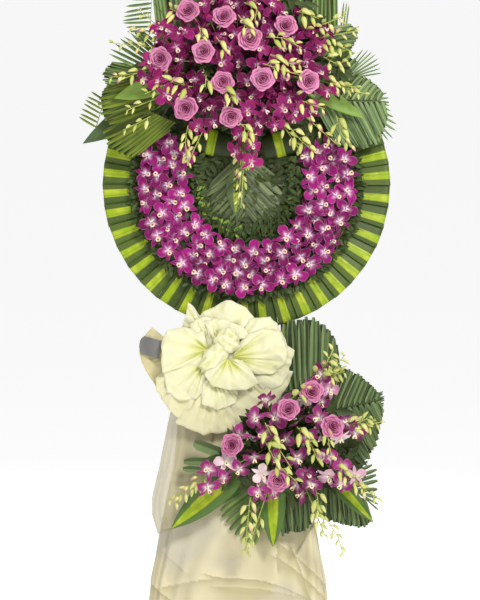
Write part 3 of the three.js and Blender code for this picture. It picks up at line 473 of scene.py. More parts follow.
def leaf_finish(name, dark, light, stripe=None, stripe_at=0.5, stripe_half=0.17, veins=26.0,
                roughness=0.42, edge=0.0, shade=0.0):
    """A leaf with fine veins along it, a midrib and, where it has one, a bright stripe. Where
    asked, a painted highlight along its edges, and painted shade over one half of it and over the
    leaflets that lie behind (part 1).
    """
    f = Finish(name, roughness, Coat_Weight=0.04, Coat_Roughness=0.35, Subsurface_Weight=0.06,
               Subsurface_Scale=0.004, Specular_IOR_Level=0.22)
    across, along = f.uv()
    tone = f.value("tone")
    patch = f.noise(f.place(), 42.0, 4.0)
    ground = f.mix(f.math("MULTIPLY_ADD", tone, 0.6, f.math("MULTIPLY", patch, 0.4)), dark, light)
    wander = f.noise(f.scaled(f.place(), (30, 30, 30)), 1.0, 2.0)
    lane = f.math("MULTIPLY_ADD", f.math("SUBTRACT", wander, 0.5), 0.02, across)
    vein = f.math("SINE", f.math("MULTIPLY", lane, veins * WAVE))
    fine = f.step(vein, 0.1, 1.0)
    ground = f.mix(fine, ground, light, 0.28)
    if stripe:
        middle = f.math("MULTIPLY_ADD", tone, 0.12, stripe_at - 0.06)
        reach = f.math("ABSOLUTE", f.math("SUBTRACT", lane, middle))
        band = f.step(reach, stripe_half, stripe_half * 0.72)
        hair = f.noise(f.scaled(f.uv_vector(), (46, 1.5, 1)), 1.0, 3.0)
        band = f.math("MULTIPLY", band, f.step(hair, 0.2, 0.5))
        ripe = f.mix(f.step(patch, 0.4, 0.7), stripe, STRIPE_PALE)
        ground = f.mix(band, ground, ripe)
    rib = f.step(f.math("ABSOLUTE", f.math("SUBTRACT", across, 0.5)), 0.035, 0.005)
    ground = f.mix(rib, ground, light, 0.45)
    foot = f.step(along, 0.22, 0.0)
    ground = f.mix(foot, ground, light, 0.3)
    if edge:
        # Painted highlight: a pale line along the leaflet's edges.
        edge_highlight = f.step(f.math("ABSOLUTE", f.math("SUBTRACT", across, 0.5)), 0.36, 0.5)
        ground = f.mix(edge_highlight, ground, EDGE_HIGHLIGHT_GREEN, edge)
    if shade:
        # Painted shade: one half of each folded leaflet is darkened, and the leaflets behind (part
        # 1) almost wholly.
        under = f.math("MULTIPLY", f.step(across, 0.52, 0.46), shade)
        under = f.math("MAXIMUM", under, f.math("MULTIPLY", f.value("part"), 0.82))
        ground = f.mix(under, ground, PAINTED_SHADE_GREEN)
    f.colour(ground)
    height = f.math("ADD", f.math("MULTIPLY", vein, 0.4), f.math("MULTIPLY", patch, 1.2))
    f.bump(height, 0.35, 0.0006)
    return f.material


PETAL_VEINS = 9


def orchid_finish(name, heart, bright, deep, lip, pale_reach, pale_blooms=0.0):
    """Petals with a pale heart, fine veins and pale rims, a dark speckled lip."""
    f = Finish(name, 0.5, Sheen_Weight=0.04, Sheen_Roughness=0.4, Subsurface_Weight=0.1,
               Subsurface_Scale=0.003, Specular_IOR_Level=0.15)
    across, along = f.uv()
    tone = f.value("tone")
    part = f.value("part")
    side = f.math("ABSOLUTE", f.math("SUBTRACT", across, 0.5))
    patch = f.noise(f.place(), 90.0, 3.0)
    petal = f.mix(f.math("MULTIPLY_ADD", tone, 0.7, f.math("MULTIPLY", patch, 0.3)), deep, bright)
    vein = f.math("SINE", f.math("MULTIPLY", across, PETAL_VEINS * WAVE))
    petal = f.mix(f.step(vein, 0.3, 1.0), petal, deep, 0.22)
    ray = f.math("MULTIPLY_ADD", side, 0.75, along)
    ray = f.math("MULTIPLY_ADD", f.math("SUBTRACT", patch, 0.5), 0.22, ray)
    blush = f.math("MULTIPLY", f.step(ray, pale_reach * 2.4, pale_reach * 0.6), 0.4)
    petal = f.mix(blush, petal, heart)
    petal = f.mix(f.step(ray, pale_reach * 1.35, pale_reach * 0.35), petal, heart)
    edge = f.step(side, 0.4, 0.5)
    petal = f.mix(edge, petal, heart, 0.16)
    if pale_blooms:
        pale = f.step(tone, 0.98 - pale_blooms, 1.02 - pale_blooms)
        petal = f.mix(pale, petal, heart, 0.75)
    speck = f.node("ShaderNodeTexVoronoi", Vector=f.place(), Scale=900.0).outputs["Distance"]
    throat = f.math("ADD", side, f.math("ABSOLUTE", f.math("SUBTRACT", along, 0.5)))
    tongue = f.mix(f.step(throat, 0.34, 0.14), lip, deep)
    tongue = f.mix(f.step(speck, 0.34, 0.2), tongue, deep, 0.55)
    is_lip = f.step(part, 0.4, 0.6)
    f.colour(f.mix(is_lip, petal, tongue))
    f.bump(f.math("MULTIPLY_ADD", vein, 0.4, patch), 0.3, 0.0005)
    return f.material


def rose_finish(name, rim, body, deep, green):
    """Rose petals, their tone between the body and rim colours at random, with a painted highlight
    on their rims, painted shade deep down where they overlap, and a green stem.
    """
    f = Finish(name, 0.6, Sheen_Weight=0.15, Sheen_Roughness=0.45, Subsurface_Weight=0.15,
               Subsurface_Scale=0.004, Specular_IOR_Level=0.15)
    along = f.uv()[1]
    tone = f.value("tone")
    part = f.value("part")
    patch = f.noise(f.place(), 70.0, 3.0)
    petal = f.mix(f.math("MULTIPLY_ADD", tone, 0.5, f.math("MULTIPLY", patch, 0.35)), body, rim)
    # Painted shade: deep down each petal, where the petals overlap.
    petal = f.mix(f.step(along, 0.93, 0.6), petal, deep)
    # Painted highlight along each petal's rim.
    petal = f.mix(f.step(along, 0.86, 0.96), petal, rim, 0.8)
    vein = f.noise(f.scaled(f.uv_vector(), (26, 2.2, 1)), 1.0, 3.0)
    petal = f.mix(f.step(vein, 0.55, 0.75), petal, deep, 0.2)
    f.colour(f.mix(f.step(part, 0.4, 0.6), petal, green))
    f.bump(vein, 0.2, 0.0005)
    return f.material


def bud_finish(name, green, yellow, purple):
    """Stems and buds: green at the foot, yellow-green on the bud, some with a purple blush."""
    f = Finish(name, 0.45, Subsurface_Weight=0.15, Subsurface_Scale=0.003,
               Specular_IOR_Level=0.25)
    along = f.uv()[1]
    tone = f.value("tone")
    part = f.value("part")
    patch = f.noise(f.place(), 160.0, 3.0)
    bud = f.mix(f.math("MULTIPLY_ADD", tone, 0.5, f.math("MULTIPLY", patch, 0.4)), green, yellow)
    blush = f.math("MULTIPLY", f.step(tone, 0.84, 1.0), f.step(along, 0.4, 0.9))
    bud = f.mix(blush, bud, purple)
    f.colour(f.mix(f.step(part, 0.4, 0.6), bud, green))
    f.bump(patch, 0.25, 0.0005)
    return f.material


def cloth_finish(name, light, fold, roughness, weave, sheen, alpha, bump, under=None,
                 haze=None):
    """Thin cloth: a fine weave or felt of fibres, with painted shade, darker and yellower, where it
    is folded, creased or pleated, and painted light just above the edges of overlapping layers. Its
    under side shows where its part is 1, and haze lies over it in large soft patches."""
    f = Finish(name, roughness, Sheen_Weight=sheen, Sheen_Roughness=0.35,
               Subsurface_Weight=0.4, Subsurface_Radius=(1, 1, 0.8),
               Subsurface_Scale=0.006, Specular_IOR_Level=0.3)
    f.shader.inputs["Alpha"].default_value = alpha
    u, v = f.uv()
    warp = f.math("SINE", f.math("MULTIPLY", u, weave[0] * WAVE))
    weft = f.math("SINE", f.math("MULTIPLY", v, weave[1] * WAVE))
    thread = f.math("MULTIPLY", warp, weft)
    fibre = f.noise(f.scaled(f.place(), (260, 260, 120)), 1.0, 4.0, 0.7)
    cloud = f.noise(f.place(), 9.0, 3.0)
    # The fold value is painted shade: darker and yellower where the cloth is folded, creased or
    # pleated, lighter above the edges of overlapping layers.
    depth = f.value("fold")
    colour = f.mix(f.math("MULTIPLY_ADD", depth, 0.85, f.math("MULTIPLY", cloud, 0.12)),
                   light, fold)
    colour = f.mix(f.step(fibre, 0.58, 0.8), colour, fold, 0.22)
    if under:
        colour = f.mix(f.value("part"), colour, under)
    if haze:
        thin = f.noise(f.place(), 5.0, 2.0)
        colour = f.mix(f.step(thin, 0.45, 0.58), colour, haze, 0.85)
    f.colour(colour)
    f.bump(f.math("MULTIPLY_ADD", thread, 0.5, f.math("MULTIPLY", fibre, 1.6)), bump, 0.0006)
    return f.material


def wood_finish(name, pale, dark):
    """Sawn pine: long grain, growth bands and a few darker streaks."""
    f = Finish(name, 0.62)
    grain = f.noise(f.scaled(f.place(), (55, 55, 3.2)), 1.0, 5.0, 0.6)
    rings = f.noise(f.scaled(f.place(), (24, 24, 1.4)), 1.0, 2.0)
    bands = f.math("SINE", f.math("MULTIPLY", rings, 46.0))
    colour = f.mix(f.step(grain, 0.3, 0.75), pale, dark)
    colour = f.mix(f.step(bands, 0.2, 1.0), colour, dark, 0.4)
    f.colour(colour)
    f.rough(f.math("MULTIPLY_ADD", grain, 0.25, 0.5))
    f.bump(f.math("MULTIPLY_ADD", bands, 0.3, grain), 0.35, 0.0008)
    return f.material


def board_finish(name, pale, dark):
    """Pressed board: chips and fibres in random directions."""
    f = Finish(name, 0.8)
    chips = f.node("ShaderNodeTexVoronoi", Vector=f.scaled(f.place(), (120, 60, 120)),
                   Scale=1.0).outputs["Distance"]
    dust = f.noise(f.place(), 400.0, 4.0)
    colour = f.mix(f.step(chips, 0.2, 0.8), pale, dark)
    f.colour(f.mix(f.step(dust, 0.5, 0.8), colour, dark, 0.4))
    f.bump(f.math("ADD", chips, dust), 0.3, 0.0008)
    return f.material


def foam_finish(name, light, dark):
    """Wet flower foam: fine open pores, darker where it is soaked."""
    f = Finish(name, 0.85)
    pores = f.node("ShaderNodeTexVoronoi", Vector=f.place(), Scale=620.0).outputs["Distance"]
    soak = f.noise(f.place(), 14.0, 3.0)
    colour = f.mix(f.step(soak, 0.35, 0.7), light, dark)
    f.colour(f.mix(f.step(pores, 0.3, 0.1), colour, dark, 0.6))
    f.bump(pores, 0.5, 0.0015)
    return f.material


# The first is the colour of the painted highlight along leaflet edges, the second that of the
# painted shade on palm leaflets.
EDGE_HIGHLIGHT_GREEN, PAINTED_SHADE_GREEN = linear(158, 180, 124), linear(14, 26, 12)
STRIPE_PALE = linear(182, 194, 52)
PALM_DARK, PALM_LIGHT = linear(82, 110, 50), linear(144, 170, 96)
RIM_DARK, RIM_LIGHT, LIME = linear(50, 68, 28), linear(90, 108, 42), linear(148, 172, 20)
# For the palms, edge is the strength of the painted edge highlight and shade that of the painted
# shade.
palm_leaf = leaf_finish("palm_leaf", PALM_DARK, PALM_LIGHT, veins=2.0, edge=0.4, shade=0.5)
pale_palm = leaf_finish("pale_palm", linear(88, 114, 62), linear(152, 174, 114), veins=2.0,
                        edge=0.4, shade=0.45)
dark_palm = leaf_finish("dark_palm", linear(74, 98, 54), linear(130, 150, 96), veins=2.0,
                        edge=0.3, shade=0.5)
centre_palm = leaf_finish("centre_palm", linear(76, 88, 52), linear(136, 148, 100), veins=2.0,
                          edge=0.35, shade=0.6)
warm_palm = leaf_finish("warm_palm", linear(80, 100, 18), linear(134, 150, 44), veins=2.0,
                        edge=0.3, shade=0.5)
rim_leaf = leaf_finish("rim_leaf", RIM_DARK, RIM_LIGHT, LIME, 0.4, 0.21, veins=15.0)
loop_leaf = leaf_finish("folded_leaf", linear(36, 46, 22), linear(66, 78, 36), LIME, 0.5, 0.13,
                        veins=20.0)
striped_leaf = leaf_finish("striped_leaf", linear(58, 86, 40), linear(98, 128, 62), LIME,
                           0.5, 0.24, veins=22.0)
pale_striped = leaf_finish("pale_striped", linear(66, 82, 50), linear(112, 128, 84), LIME,
                           0.5, 0.15, veins=22.0)
dark_leaf = leaf_finish("dark_leaf", linear(52, 74, 44), linear(86, 110, 66), veins=24.0)
light_leaf = leaf_finish("light_leaf", linear(90, 124, 44), linear(150, 178, 84), veins=12.0)
small_leaf = leaf_finish("small_leaf", linear(36, 48, 24), linear(86, 102, 54), veins=5.0,
                         roughness=0.5)
bright_leaf = leaf_finish("bright_leaf", linear(84, 116, 44), linear(160, 184, 80), veins=5.0)
ring_orchid = orchid_finish("ring_orchid", linear(252, 226, 244), linear(172, 26, 130),
                            linear(86, 6, 54), linear(244, 214, 184), 0.27)
spray_orchid = orchid_finish("spray_orchid", linear(236, 176, 212), linear(168, 36, 114),
                             linear(70, 6, 42), linear(240, 212, 186), 0.2)
lower_orchid = orchid_finish("lower_orchid", linear(248, 232, 226), linear(184, 62, 142),
                             linear(100, 18, 70), linear(248, 232, 190), 0.3, 0.1)
# The rim colour is the petals' paler tone and their painted rim highlight; the deep one is painted
# shade.
rose_petal = rose_finish("rose_petal", linear(222, 146, 182), linear(190, 90, 138),
                         linear(112, 24, 72), linear(62, 96, 44))
bud_skin = bud_finish("bud_skin", linear(160, 174, 68), linear(246, 236, 166),
                      linear(176, 92, 132))
# Each cloth's second colour is its painted fold shade, and also the colour of its darker fibres.
bow_cloth = cloth_finish("bow_cloth", linear(231, 228, 194), linear(204, 206, 104), 0.5,
                         (90, 420), 0.4, 1.0, 0.25, under=linear(208, 198, 152))
skirt_cloth = cloth_finish("skirt_cloth", linear(221, 211, 176), linear(184, 174, 134), 0.8,
                           (300, 260), 0.15, 1.0, 0.4, haze=linear(196, 189, 168))
sheer_cloth = cloth_finish("sheer_cloth", linear(214, 205, 172), linear(176, 168, 132), 0.85,
                           (120, 200), 0.1, 0.8, 0.6)
tag_cloth = cloth_finish("tag_cloth", linear(132, 130, 126), linear(92, 90, 88), 0.45,
                         (60, 60), 0.3, 1.0, 0.3)
stand_wood = wood_finish("stand_wood", linear(206, 168, 118), linear(150, 108, 66))
disc_board = board_finish("disc_board", linear(150, 128, 92), linear(96, 78, 52))
wet_foam = foam_finish("wet_foam", linear(60, 104, 62), linear(30, 62, 38))

# ---------------------------------------------------------------- forms
BLOOM_RADIUS = 26
SEPAL_LENGTH, SEPAL_WIDTH, PETAL_WIDTH = 1.02, 0.47, 0.84  # shares of the radius
SEPAL_ANGLES, PETAL_ANGLES = (90, -52, -128), (20, 160)
SEPAL_LIFT, PETAL_LIFT = 2.0, 4.0
LIP_HALF_WIDTH, LIP_LENGTH, LIP_DEPTH = 4.4, 8.5, 7.5
COLUMN_MIDDLE, COLUMN_RADII = (0, -5.5, 1.2), (2.1, 3.6, 2.5)
HALF_OPEN_ANGLES, HALF_OPEN_SIZE, HALF_OPEN_LENGTH = (90, 20, 160, -50, -130), 7.5, 21


def tepal(shape, degrees, length, width, lift, curl, broad=False):
    """One petal from the middle of a bloom, cupped across and bent at its tip."""
    turn = math.radians(degrees)
    along, side = outward(turn), round_about(turn)
    swell, close = (0.78, 0.55) if broad else (0.6, 0.95)

    def place(u, v):
        across = (u - 0.5) * 2
        half = width / 2 * (2.3 * (v + 0.03) ** swell * (1 - min(v, 0.99)) ** close)
        reach = length * (0.05 + 0.95 * v)
        depth = -lift * math.sin(math.pi * v * 0.7) + curl * v * v
        depth -= 0.3 * half * across * across
        return along * reach + side * (across * half) + Vector((0, depth, 0))

    shape.grid(5, 2, place)


def bloom(curls, open_share):
    """A dendrobium bloom that faces -y: three sepals, two broad petals, the lip and column."""
    shape = Shape()
    size = BLOOM_RADIUS
    for degrees, curl in zip(SEPAL_ANGLES, curls):
        tepal(shape, degrees, size * SEPAL_LENGTH, size * SEPAL_WIDTH, SEPAL_LIFT, curl)
    for degrees, curl in zip(PETAL_ANGLES, curls):
        tepal(shape, degrees, size * open_share, size * PETAL_WIDTH, PETAL_LIFT, curl, broad=True)

    def lip(u, v):
        across = (u - 0.5) * 2
        half = LIP_HALF_WIDTH * math.sin(math.pi * (0.2 + 0.7 * v)) + 0.5
        down = -1.5 - LIP_LENGTH * v
        depth = -5 - LIP_DEPTH * math.sin(math.pi * v * 0.75) - (1 - v) * across * across * 3
        return Vector((across * half, depth, down))

    shape.grid(3, 2, lip, 1.0)
    column = Shape().ball(COLUMN_MIDDLE, COLUMN_RADII, 5, 2)
    column.uv = [(0.5, 0.0)] * len(column.uv)
    return shape.add(column)


def half_bloom():
    """A bloom that has not opened: its petals still stand forward round the lip."""
    shape = Shape()
    for degrees in HALF_OPEN_ANGLES:
        out, side = outward(math.radians(degrees)), round_about(math.radians(degrees))

        def place(u, v, out=out, side=side):
            across = (u - 0.5) * 2
            half = HALF_OPEN_SIZE * math.sin(math.pi * min(1, 0.15 + 0.84 * v))
            reach = HALF_OPEN_SIZE * math.sin(math.pi * v * 0.72) + 1
            return out * reach + side * across * half + Vector((0, 4 - HALF_OPEN_LENGTH * v, 0))

        shape.grid(4, 2, place)
    return shape


def bud_form():
    """A hooked bud: a plump drop on a short stalk, along +x, bent a little down."""
    shape = Shape()
    sides, rings = 6, 6
    for i in range(rings + 1):
        v = i / rings
        radius = 0.25 * (v + 0.02) ** 0.45 * (1.02 - v) ** 0.8 * 1.9 + 0.01
        centre = Vector((v, 0, -0.34 * v * v + 0.1 * v))
        for j in range(sides):
            angle = 2 * math.pi * j / sides
            shape.points.append(centre + Vector((0, math.cos(angle), math.sin(angle))) * radius)
            shape.uv.append((j / sides, v))
            shape.part.append(0.0)
    for i in range(rings):
        for j in range(sides):
            a, b = i * sides + j, i * sides + (j + 1) % sides
            shape.faces.append((a, b, b + sides, a + sides))
    return shape


def leaf_form(rows, outline, fold, droop, twist=0.0, part=0.0):
    """A leaf of length 1 and width 1 along +x, folded along its midrib, drooping at its tip."""
    def place(u, v):
        across = (u - 0.5) * 2
        half = 0.5 * outline(v)
        bend = twist * v * v
        return Vector((v, across * half + bend, fold * abs(across) * half - droop * v * v))
    return Shape().grid(rows, 2, place, part)


# Outlines: the width of a leaf from its foot (0) to its tip (1), as a share of its widest.
def strap(v):
    return min(1.0, (v * 9) ** 0.6) * (1 - max(0.0, (v - 0.6) / 0.4) ** 1.8) + 0.02


def palm_strap(v):
    return min(1.0, 0.55 + v * 3) * (1 - 0.92 * max(0.0, (v - 0.74) / 0.26) ** 1.5)


def blunt_strap(v):
    return min(1.0, 0.55 + v * 3) * (1 - 0.5 * max(0.0, (v - 0.88) / 0.12) ** 2)


def oval(v):
    return math.sin(math.pi * (0.03 + 0.95 * v)) ** 0.85 + 0.02


# Three sharp leaflets, two blunt ones, and the plain one that lies behind them, which the palm
# finishes colour almost all in painted shade to darken the gaps between leaflets.
form_set("leaflets", [
    leaf_form(7, palm_strap, 0.5, 0.04), leaf_form(7, palm_strap, 0.4, 0.08, 0.3),
    leaf_form(7, palm_strap, 0.6, 0.03, -0.3), leaf_form(6, blunt_strap, 0.5, 0.04),
    leaf_form(6, blunt_strap, 0.6, 0.06, 0.2), leaf_form(3, blunt_strap, 0.3, 0.04, 0, 1),
])
form_set("small_leaves", [
    leaf_form(4, oval, 0.35, 0.12), leaf_form(4, oval, 0.5, 0.2, 0.15),
    leaf_form(4, strap, 0.4, 0.15, -0.2),
])
form_set("blooms", [bloom((-3, 4, -6), 1.0), bloom((5, -2, 6), 0.95),
                    bloom((-8, 2, 5), 1.03), bloom((7, 8, -3), 0.98), half_bloom()])
form_set("buds", [bud_form()])


GOLDEN_TURN = 2.3998
ROSE_GRID = (7, 8)
ROSE_FOOT, SEPALS, SEPAL_REACH, SEPAL_HALF_ANGLE = 8, 5, (6, 25), 0.42
CUP_MIDDLE, CUP_RADII = (0, 9, 0), (7.5, 7, 7.5)
HEART_MIDDLE, HEART_RADII, HEART_DEPTH_OF_COLOUR = (0, -4, 0), (12.5, 8.0, 12.5), 0.62
ROSE_ROUNDS = [
    # petals, radius, width in radians, height of the rim, outward lean, roll, point
    (1, 1.1, 5.2, 17.4, 0.0, 0.6, 0), (2, 3.2, 3.6, 17.4, 0.1, 1.0, 0),
    (3, 6.0, 2.9, 16.8, 0.16, 1.2, 0.1), (3, 9.2, 2.8, 15.6, 0.2, 1.6, 0.3),
    (4, 12.6, 2.4, 13.8, 0.26, 2.0, 0.5), (5, 16.2, 2.2, 11.2, 0.32, 2.4, 0.8),
    (5, 19.8, 2.1, 8.0, 0.4, 2.8, 1.2), (6, 23.0, 1.9, 4.0, 0.5, 3.0, 1.4),
]


def rose_form(seed):
    """A rose that faces -y: petals wound round a tight heart, the outer ones rolled back."""
    draw = random.Random(seed)
    shape = Shape()
    k = 0
    for petals, radius, width, top, lean, roll, peak in ROSE_ROUNDS:
        for _ in range(petals):
            k += 1
            turn = k * GOLDEN_TURN + draw.uniform(-0.15, 0.15)
            size = radius * draw.uniform(0.94, 1.06)
            high = top + draw.uniform(-0.5, 0.5)
            wave = draw.uniform(0, 6.28)

            def place(u, v, turn=turn, size=size, width=width, high=high, lean=lean, roll=roll,
                      peak=peak, wave=wave):
                across = (u - 0.5) * 2
                angle = turn + across * width / 2
                rise = v * (1 - 0.2 * abs(across) ** 1.6 + 0.05 * peak * (1 - abs(across)) ** 2)
                reach = size * (1 - lean) + size * lean * rise ** 1.5
                lip = max(0.0, v - 0.72) / 0.28
                reach += roll * lip * lip * (0.6 + 0.4 * (1 - across * across))
                reach += peak * max(0.0, 1 - 2.2 * abs(across)) * lip
                reach *= 1 - 0.05 * abs(across) ** 3
                reach += 0.5 * math.sin(wave + across * 4) * v
                height = (high + ROSE_FOOT) * rise - ROSE_FOOT - roll * 0.75 * lip ** 3
                return Vector((math.cos(angle) * reach, -height, math.sin(angle) * reach))

            shape.grid(*ROSE_GRID, place)
    for k in range(SEPALS):
        turn = k * 2 * math.pi / SEPALS

        def sepal(u, v, turn=turn):
            across = (u - 0.5) * 2
            angle = turn + across * SEPAL_HALF_ANGLE * (1 - v)
            reach = SEPAL_REACH[0] + (SEPAL_REACH[1] - SEPAL_REACH[0]) * v
            return Vector((math.cos(angle) * reach, 9 - 3 * v, math.sin(angle) * reach))

        shape.grid(3, 2, sepal, 1.0)
    shape.ball(CUP_MIDDLE, CUP_RADII, 8, 4, 1.0)
    # The heart ball takes the petal colour from deep down, in the painted shade.
    start = len(shape.uv)
    shape.ball(HEART_MIDDLE, HEART_RADII, 16, 8)
    shape.uv[start:] = [(0.5, HEART_DEPTH_OF_COLOUR)] * (len(shape.uv) - start)
    return shape


form_set("roses", [rose_form(3), rose_form(8), rose_form(15)])

# ---------------------------------------------------------------- camera, light and floor
VIEW_HEIGHT = 1.32
VIEW_DISTANCE = 16.0
VIEW_RISE = LEAN
SENSOR = 36.0
VIEW_MIDDLE = BOARD @ Vector((-14.3, 0, -253))
WORLD_LIGHT, FLOOR_GLOW, WHITE = 0.38, 0.6, (1, 1, 1, 1)
FLOOR_SIZE = 240
LIGHTS = [
    # name, place and size in metres, power in watts
    ("key light", (1.5, -3.1, 3.3), 1.0, 120),
    ("fill light", (-2.6, -2.6, 1.6), 2.2, 16),
    ("back light", (0.6, 2.8, 2.8), 2.2, 36),
]
LIGHT_AIM = Vector((0, 0, 0.95))
FLOOR_TONES = (0.84, 0.84, 0.835, 1), (0.86, 0.86, 0.855, 1)


def set_camera():
    data = bpy.data.cameras.new("camera")
    camera = in_scene("camera", data)
    data.sensor_fit = "VERTICAL"
    data.sensor_height = SENSOR
    data.lens = SENSOR * VIEW_DISTANCE / VIEW_HEIGHT
    data.clip_end = 200
    away = Vector((0, -math.cos(VIEW_RISE), math.sin(VIEW_RISE)))
    camera.location = VIEW_MIDDLE + away * VIEW_DISTANCE
    camera.rotation_euler = (math.pi / 2 - VIEW_RISE, 0, 0)
    bpy.context.scene.camera = camera


def set_light():
    bpy.context.scene.view_settings.view_transform = "Standard"
    world = bpy.data.worlds.new("studio")
    bpy.context.scene.world = world
    world.use_nodes = True
    background = world.node_tree.nodes["Background"]
    background.inputs["Color"].default_value = WHITE
    background.inputs["Strength"].default_value = WORLD_LIGHT
    for name, place, size, power in LIGHTS:
        data = bpy.data.lights.new(name, "AREA")
        data.shape, data.size, data.energy = "DISK", size, power
        light = in_scene(name, data)
        light.location = place
        aim = LIGHT_AIM - Vector(place)
        light.rotation_euler = aim.to_track_quat("-Z", "Y").to_euler()


def set_stage():
    f = Finish("studio_floor", 0.85)
    grain = f.noise(f.place(), 30.0, 3.0)
    f.colour(f.mix(grain, *FLOOR_TONES))
    f.shader.inputs["Emission Color"].default_value = WHITE
    f.shader.inputs["Emission Strength"].default_value = FLOOR_GLOW
    square = Shape().grid(1, 1, lambda u, v: ((u - 0.5) * FLOOR_SIZE, (v - 0.5) * FLOOR_SIZE, 0))
    mesh = square.mesh("studio_floor")
    mesh.materials.append(f.material)
    floor = in_scene("studio_floor", mesh)


set_camera()
set_light()
set_stage()

# ---------------------------------------------------------------- stand, disc and foam
SAWN_EDGE, FOAM_EDGE = 0.0016, 0.003
WELD, NEARLY_FLAT = 1e-5, 0.02


def softened(node, finish, edge):
    """A sawn piece with its sharp edges eased."""
    work = bmesh.new()
    work.from_mesh(frame["nodes"][node].data)
    bmesh.ops.transform(work, matrix=frame["nodes"][node].matrix_world, verts=work.verts)
    bmesh.ops.remove_doubles(work, verts=work.verts, dist=WELD)
    bmesh.ops.dissolve_limit(work, angle_limit=NEARLY_FLAT, verts=work.verts, edges=work.edges)
    bmesh.ops.bevel(work, geom=work.edges, offset=edge, segments=2, affect="EDGES")
    mesh = bpy.data.meshes.new(f"{node}_sawn")
    work.to_mesh(mesh)
    work.free()
    mesh.materials.append(finish)
    finished(f"{node}_sawn", mesh, [node], smooth=False)


for part in ("leg_left", "leg_right", "leg_rear", "bar_upper", "bar_middle", "bar_foot",
             "tie_bar"):
    softened(f"stand_{part}", stand_wood, SAWN_EDGE)
for block in ("top_foam_block", "lower_foam_block"):
    softened(block, wet_foam, FOAM_EDGE)

DISC_RADIUS, DISC_SIDES, DISC_WELD = 298, 144, 1e-3
DISC_EASE = [(2.5, 0), (0.7, 0.7), (0, 2.3)]  # in from the rim and in from the face


def disc_mesh():
    """The round board, with an eased edge."""
    profile = [
        (0, DISC_BACK),
        *[(DISC_RADIUS - inwards, DISC_BACK - deep) for inwards, deep in DISC_EASE],
        *[(DISC_RADIUS - inwards, DISC_FRONT + deep) for inwards, deep in reversed(DISC_EASE)],
        (0, DISC_FRONT),
    ]

    def place(u, v):
        radius, y = profile[round(v * (len(profile) - 1))]
        return (radius * math.cos(u * 2 * math.pi), y, radius * math.sin(u * 2 * math.pi))

    work = bmesh.new()
    work.from_mesh(Shape().grid(len(profile) - 1, DISC_SIDES, place).mesh("disc"))
    bmesh.ops.remove_doubles(work, verts=work.verts, dist=DISC_WELD)
    bmesh.ops.recalc_face_normals(work, faces=work.faces)
    mesh = bpy.data.meshes.new("round_board")
    work.to_mesh(mesh)
    work.free()
    return placed(mesh, disc_board)


finished("round_board", disc_mesh(), ["backing_disc"])

# ---------------------------------------------------------------- leaf rim
RIM_LEAVES = 42
RIM_INNER, RIM_OUTER, RIM_FRONT = 244, 316, -14.5
RIM_HALF_WIDTH, RIM_WIDENING = 18.5, 7.0
RIM_FOLD, RIM_TUCKED = 6.0, 14
RIM_TILT = -8.5
RIM_STAPLES = ((50, 9), (14, -7))


def rim_form(bow):
    """A leaf laid outwards over the edge of the board and folded back behind it, stapled."""
    length = RIM_OUTER - RIM_INNER
    shape = Shape()

    def place(u, v):
        across = (u - 0.5) * 2
        half = RIM_HALF_WIDTH + RIM_WIDENING * min(1, v * 1.1)
        path = v * (length + RIM_TUCKED)
        flat = length - RIM_FOLD
        if path < flat:
            x, z = path, 0.0
        else:
            turn = min(math.pi, (path - flat) / RIM_FOLD)
            x = flat + RIM_FOLD * math.sin(turn)
            z = -RIM_FOLD * 0.5 * (1 - math.cos(turn))
        crown = bow * (1 - across * across)
        return Vector((x, across * half, z + crown * (1 if z > -1 else 0.2)))

    shape.grid(14, 8, place)
    for x, y in RIM_STAPLES:
        shape.ball((x, y, bow * 0.8 + 0.5), (0.7, 4.0, 0.55), 4, 2, 1.0)
    return shape


form_set("rim_leaves", [rim_form(2.2), rim_form(3.0), rim_form(1.4)])


def rim_mesh():
    draw = random.Random(5)
    seats = Seats()
    for k in range(RIM_LEAVES):
        out = outward(2 * math.pi * (k + 0.5) / RIM_LEAVES)
        tilt = math.radians(RIM_TILT + draw.uniform(-1, 1))
        turn = lying(out) @ Matrix.Rotation(tilt, 3, "X")
        place = out * (RIM_INNER + draw.uniform(-1.5, 0)) + Vector((0, RIM_FRONT, 0))
        turn = turn @ Matrix.Rotation(math.radians(draw.uniform(-1.2, 1.2)), 3, "Z")
        seats.put(place, turn, (1, 1, 1), draw.randrange(3))
    return seats.grow("rim_leaves", "rim_leaves", rim_leaf, 3)


finished("rim_leaves", rim_mesh(), ["leaf_rim"])


# ---------------------------------------------------------------- bands of small leaves
GREENS = [
    ("outer_leaves", "outer_greens", small_leaf, 5,
     dict(seed=7, radius=243, spread_in=9, spread_out=7, count=760, near=-18, far=-31, lean=1,
          size=17, gaps=[(66, 115)])),
    ("inner_leaves", "inner_greens", small_leaf, 6,
     dict(seed=9, radius=122, spread_in=20, spread_out=5, count=620, near=-18, far=-33, lean=-1,
          size=18, gaps=[(32, 62), (118, 148)])),
    ("inner_bright_leaves", "inner_greens", bright_leaf, 7,
     dict(seed=11, radius=116, spread_in=20, spread_out=4, count=130, near=-26, far=-36, lean=-1,
          size=15, gaps=[(0, 185), (266, 360)])),
]


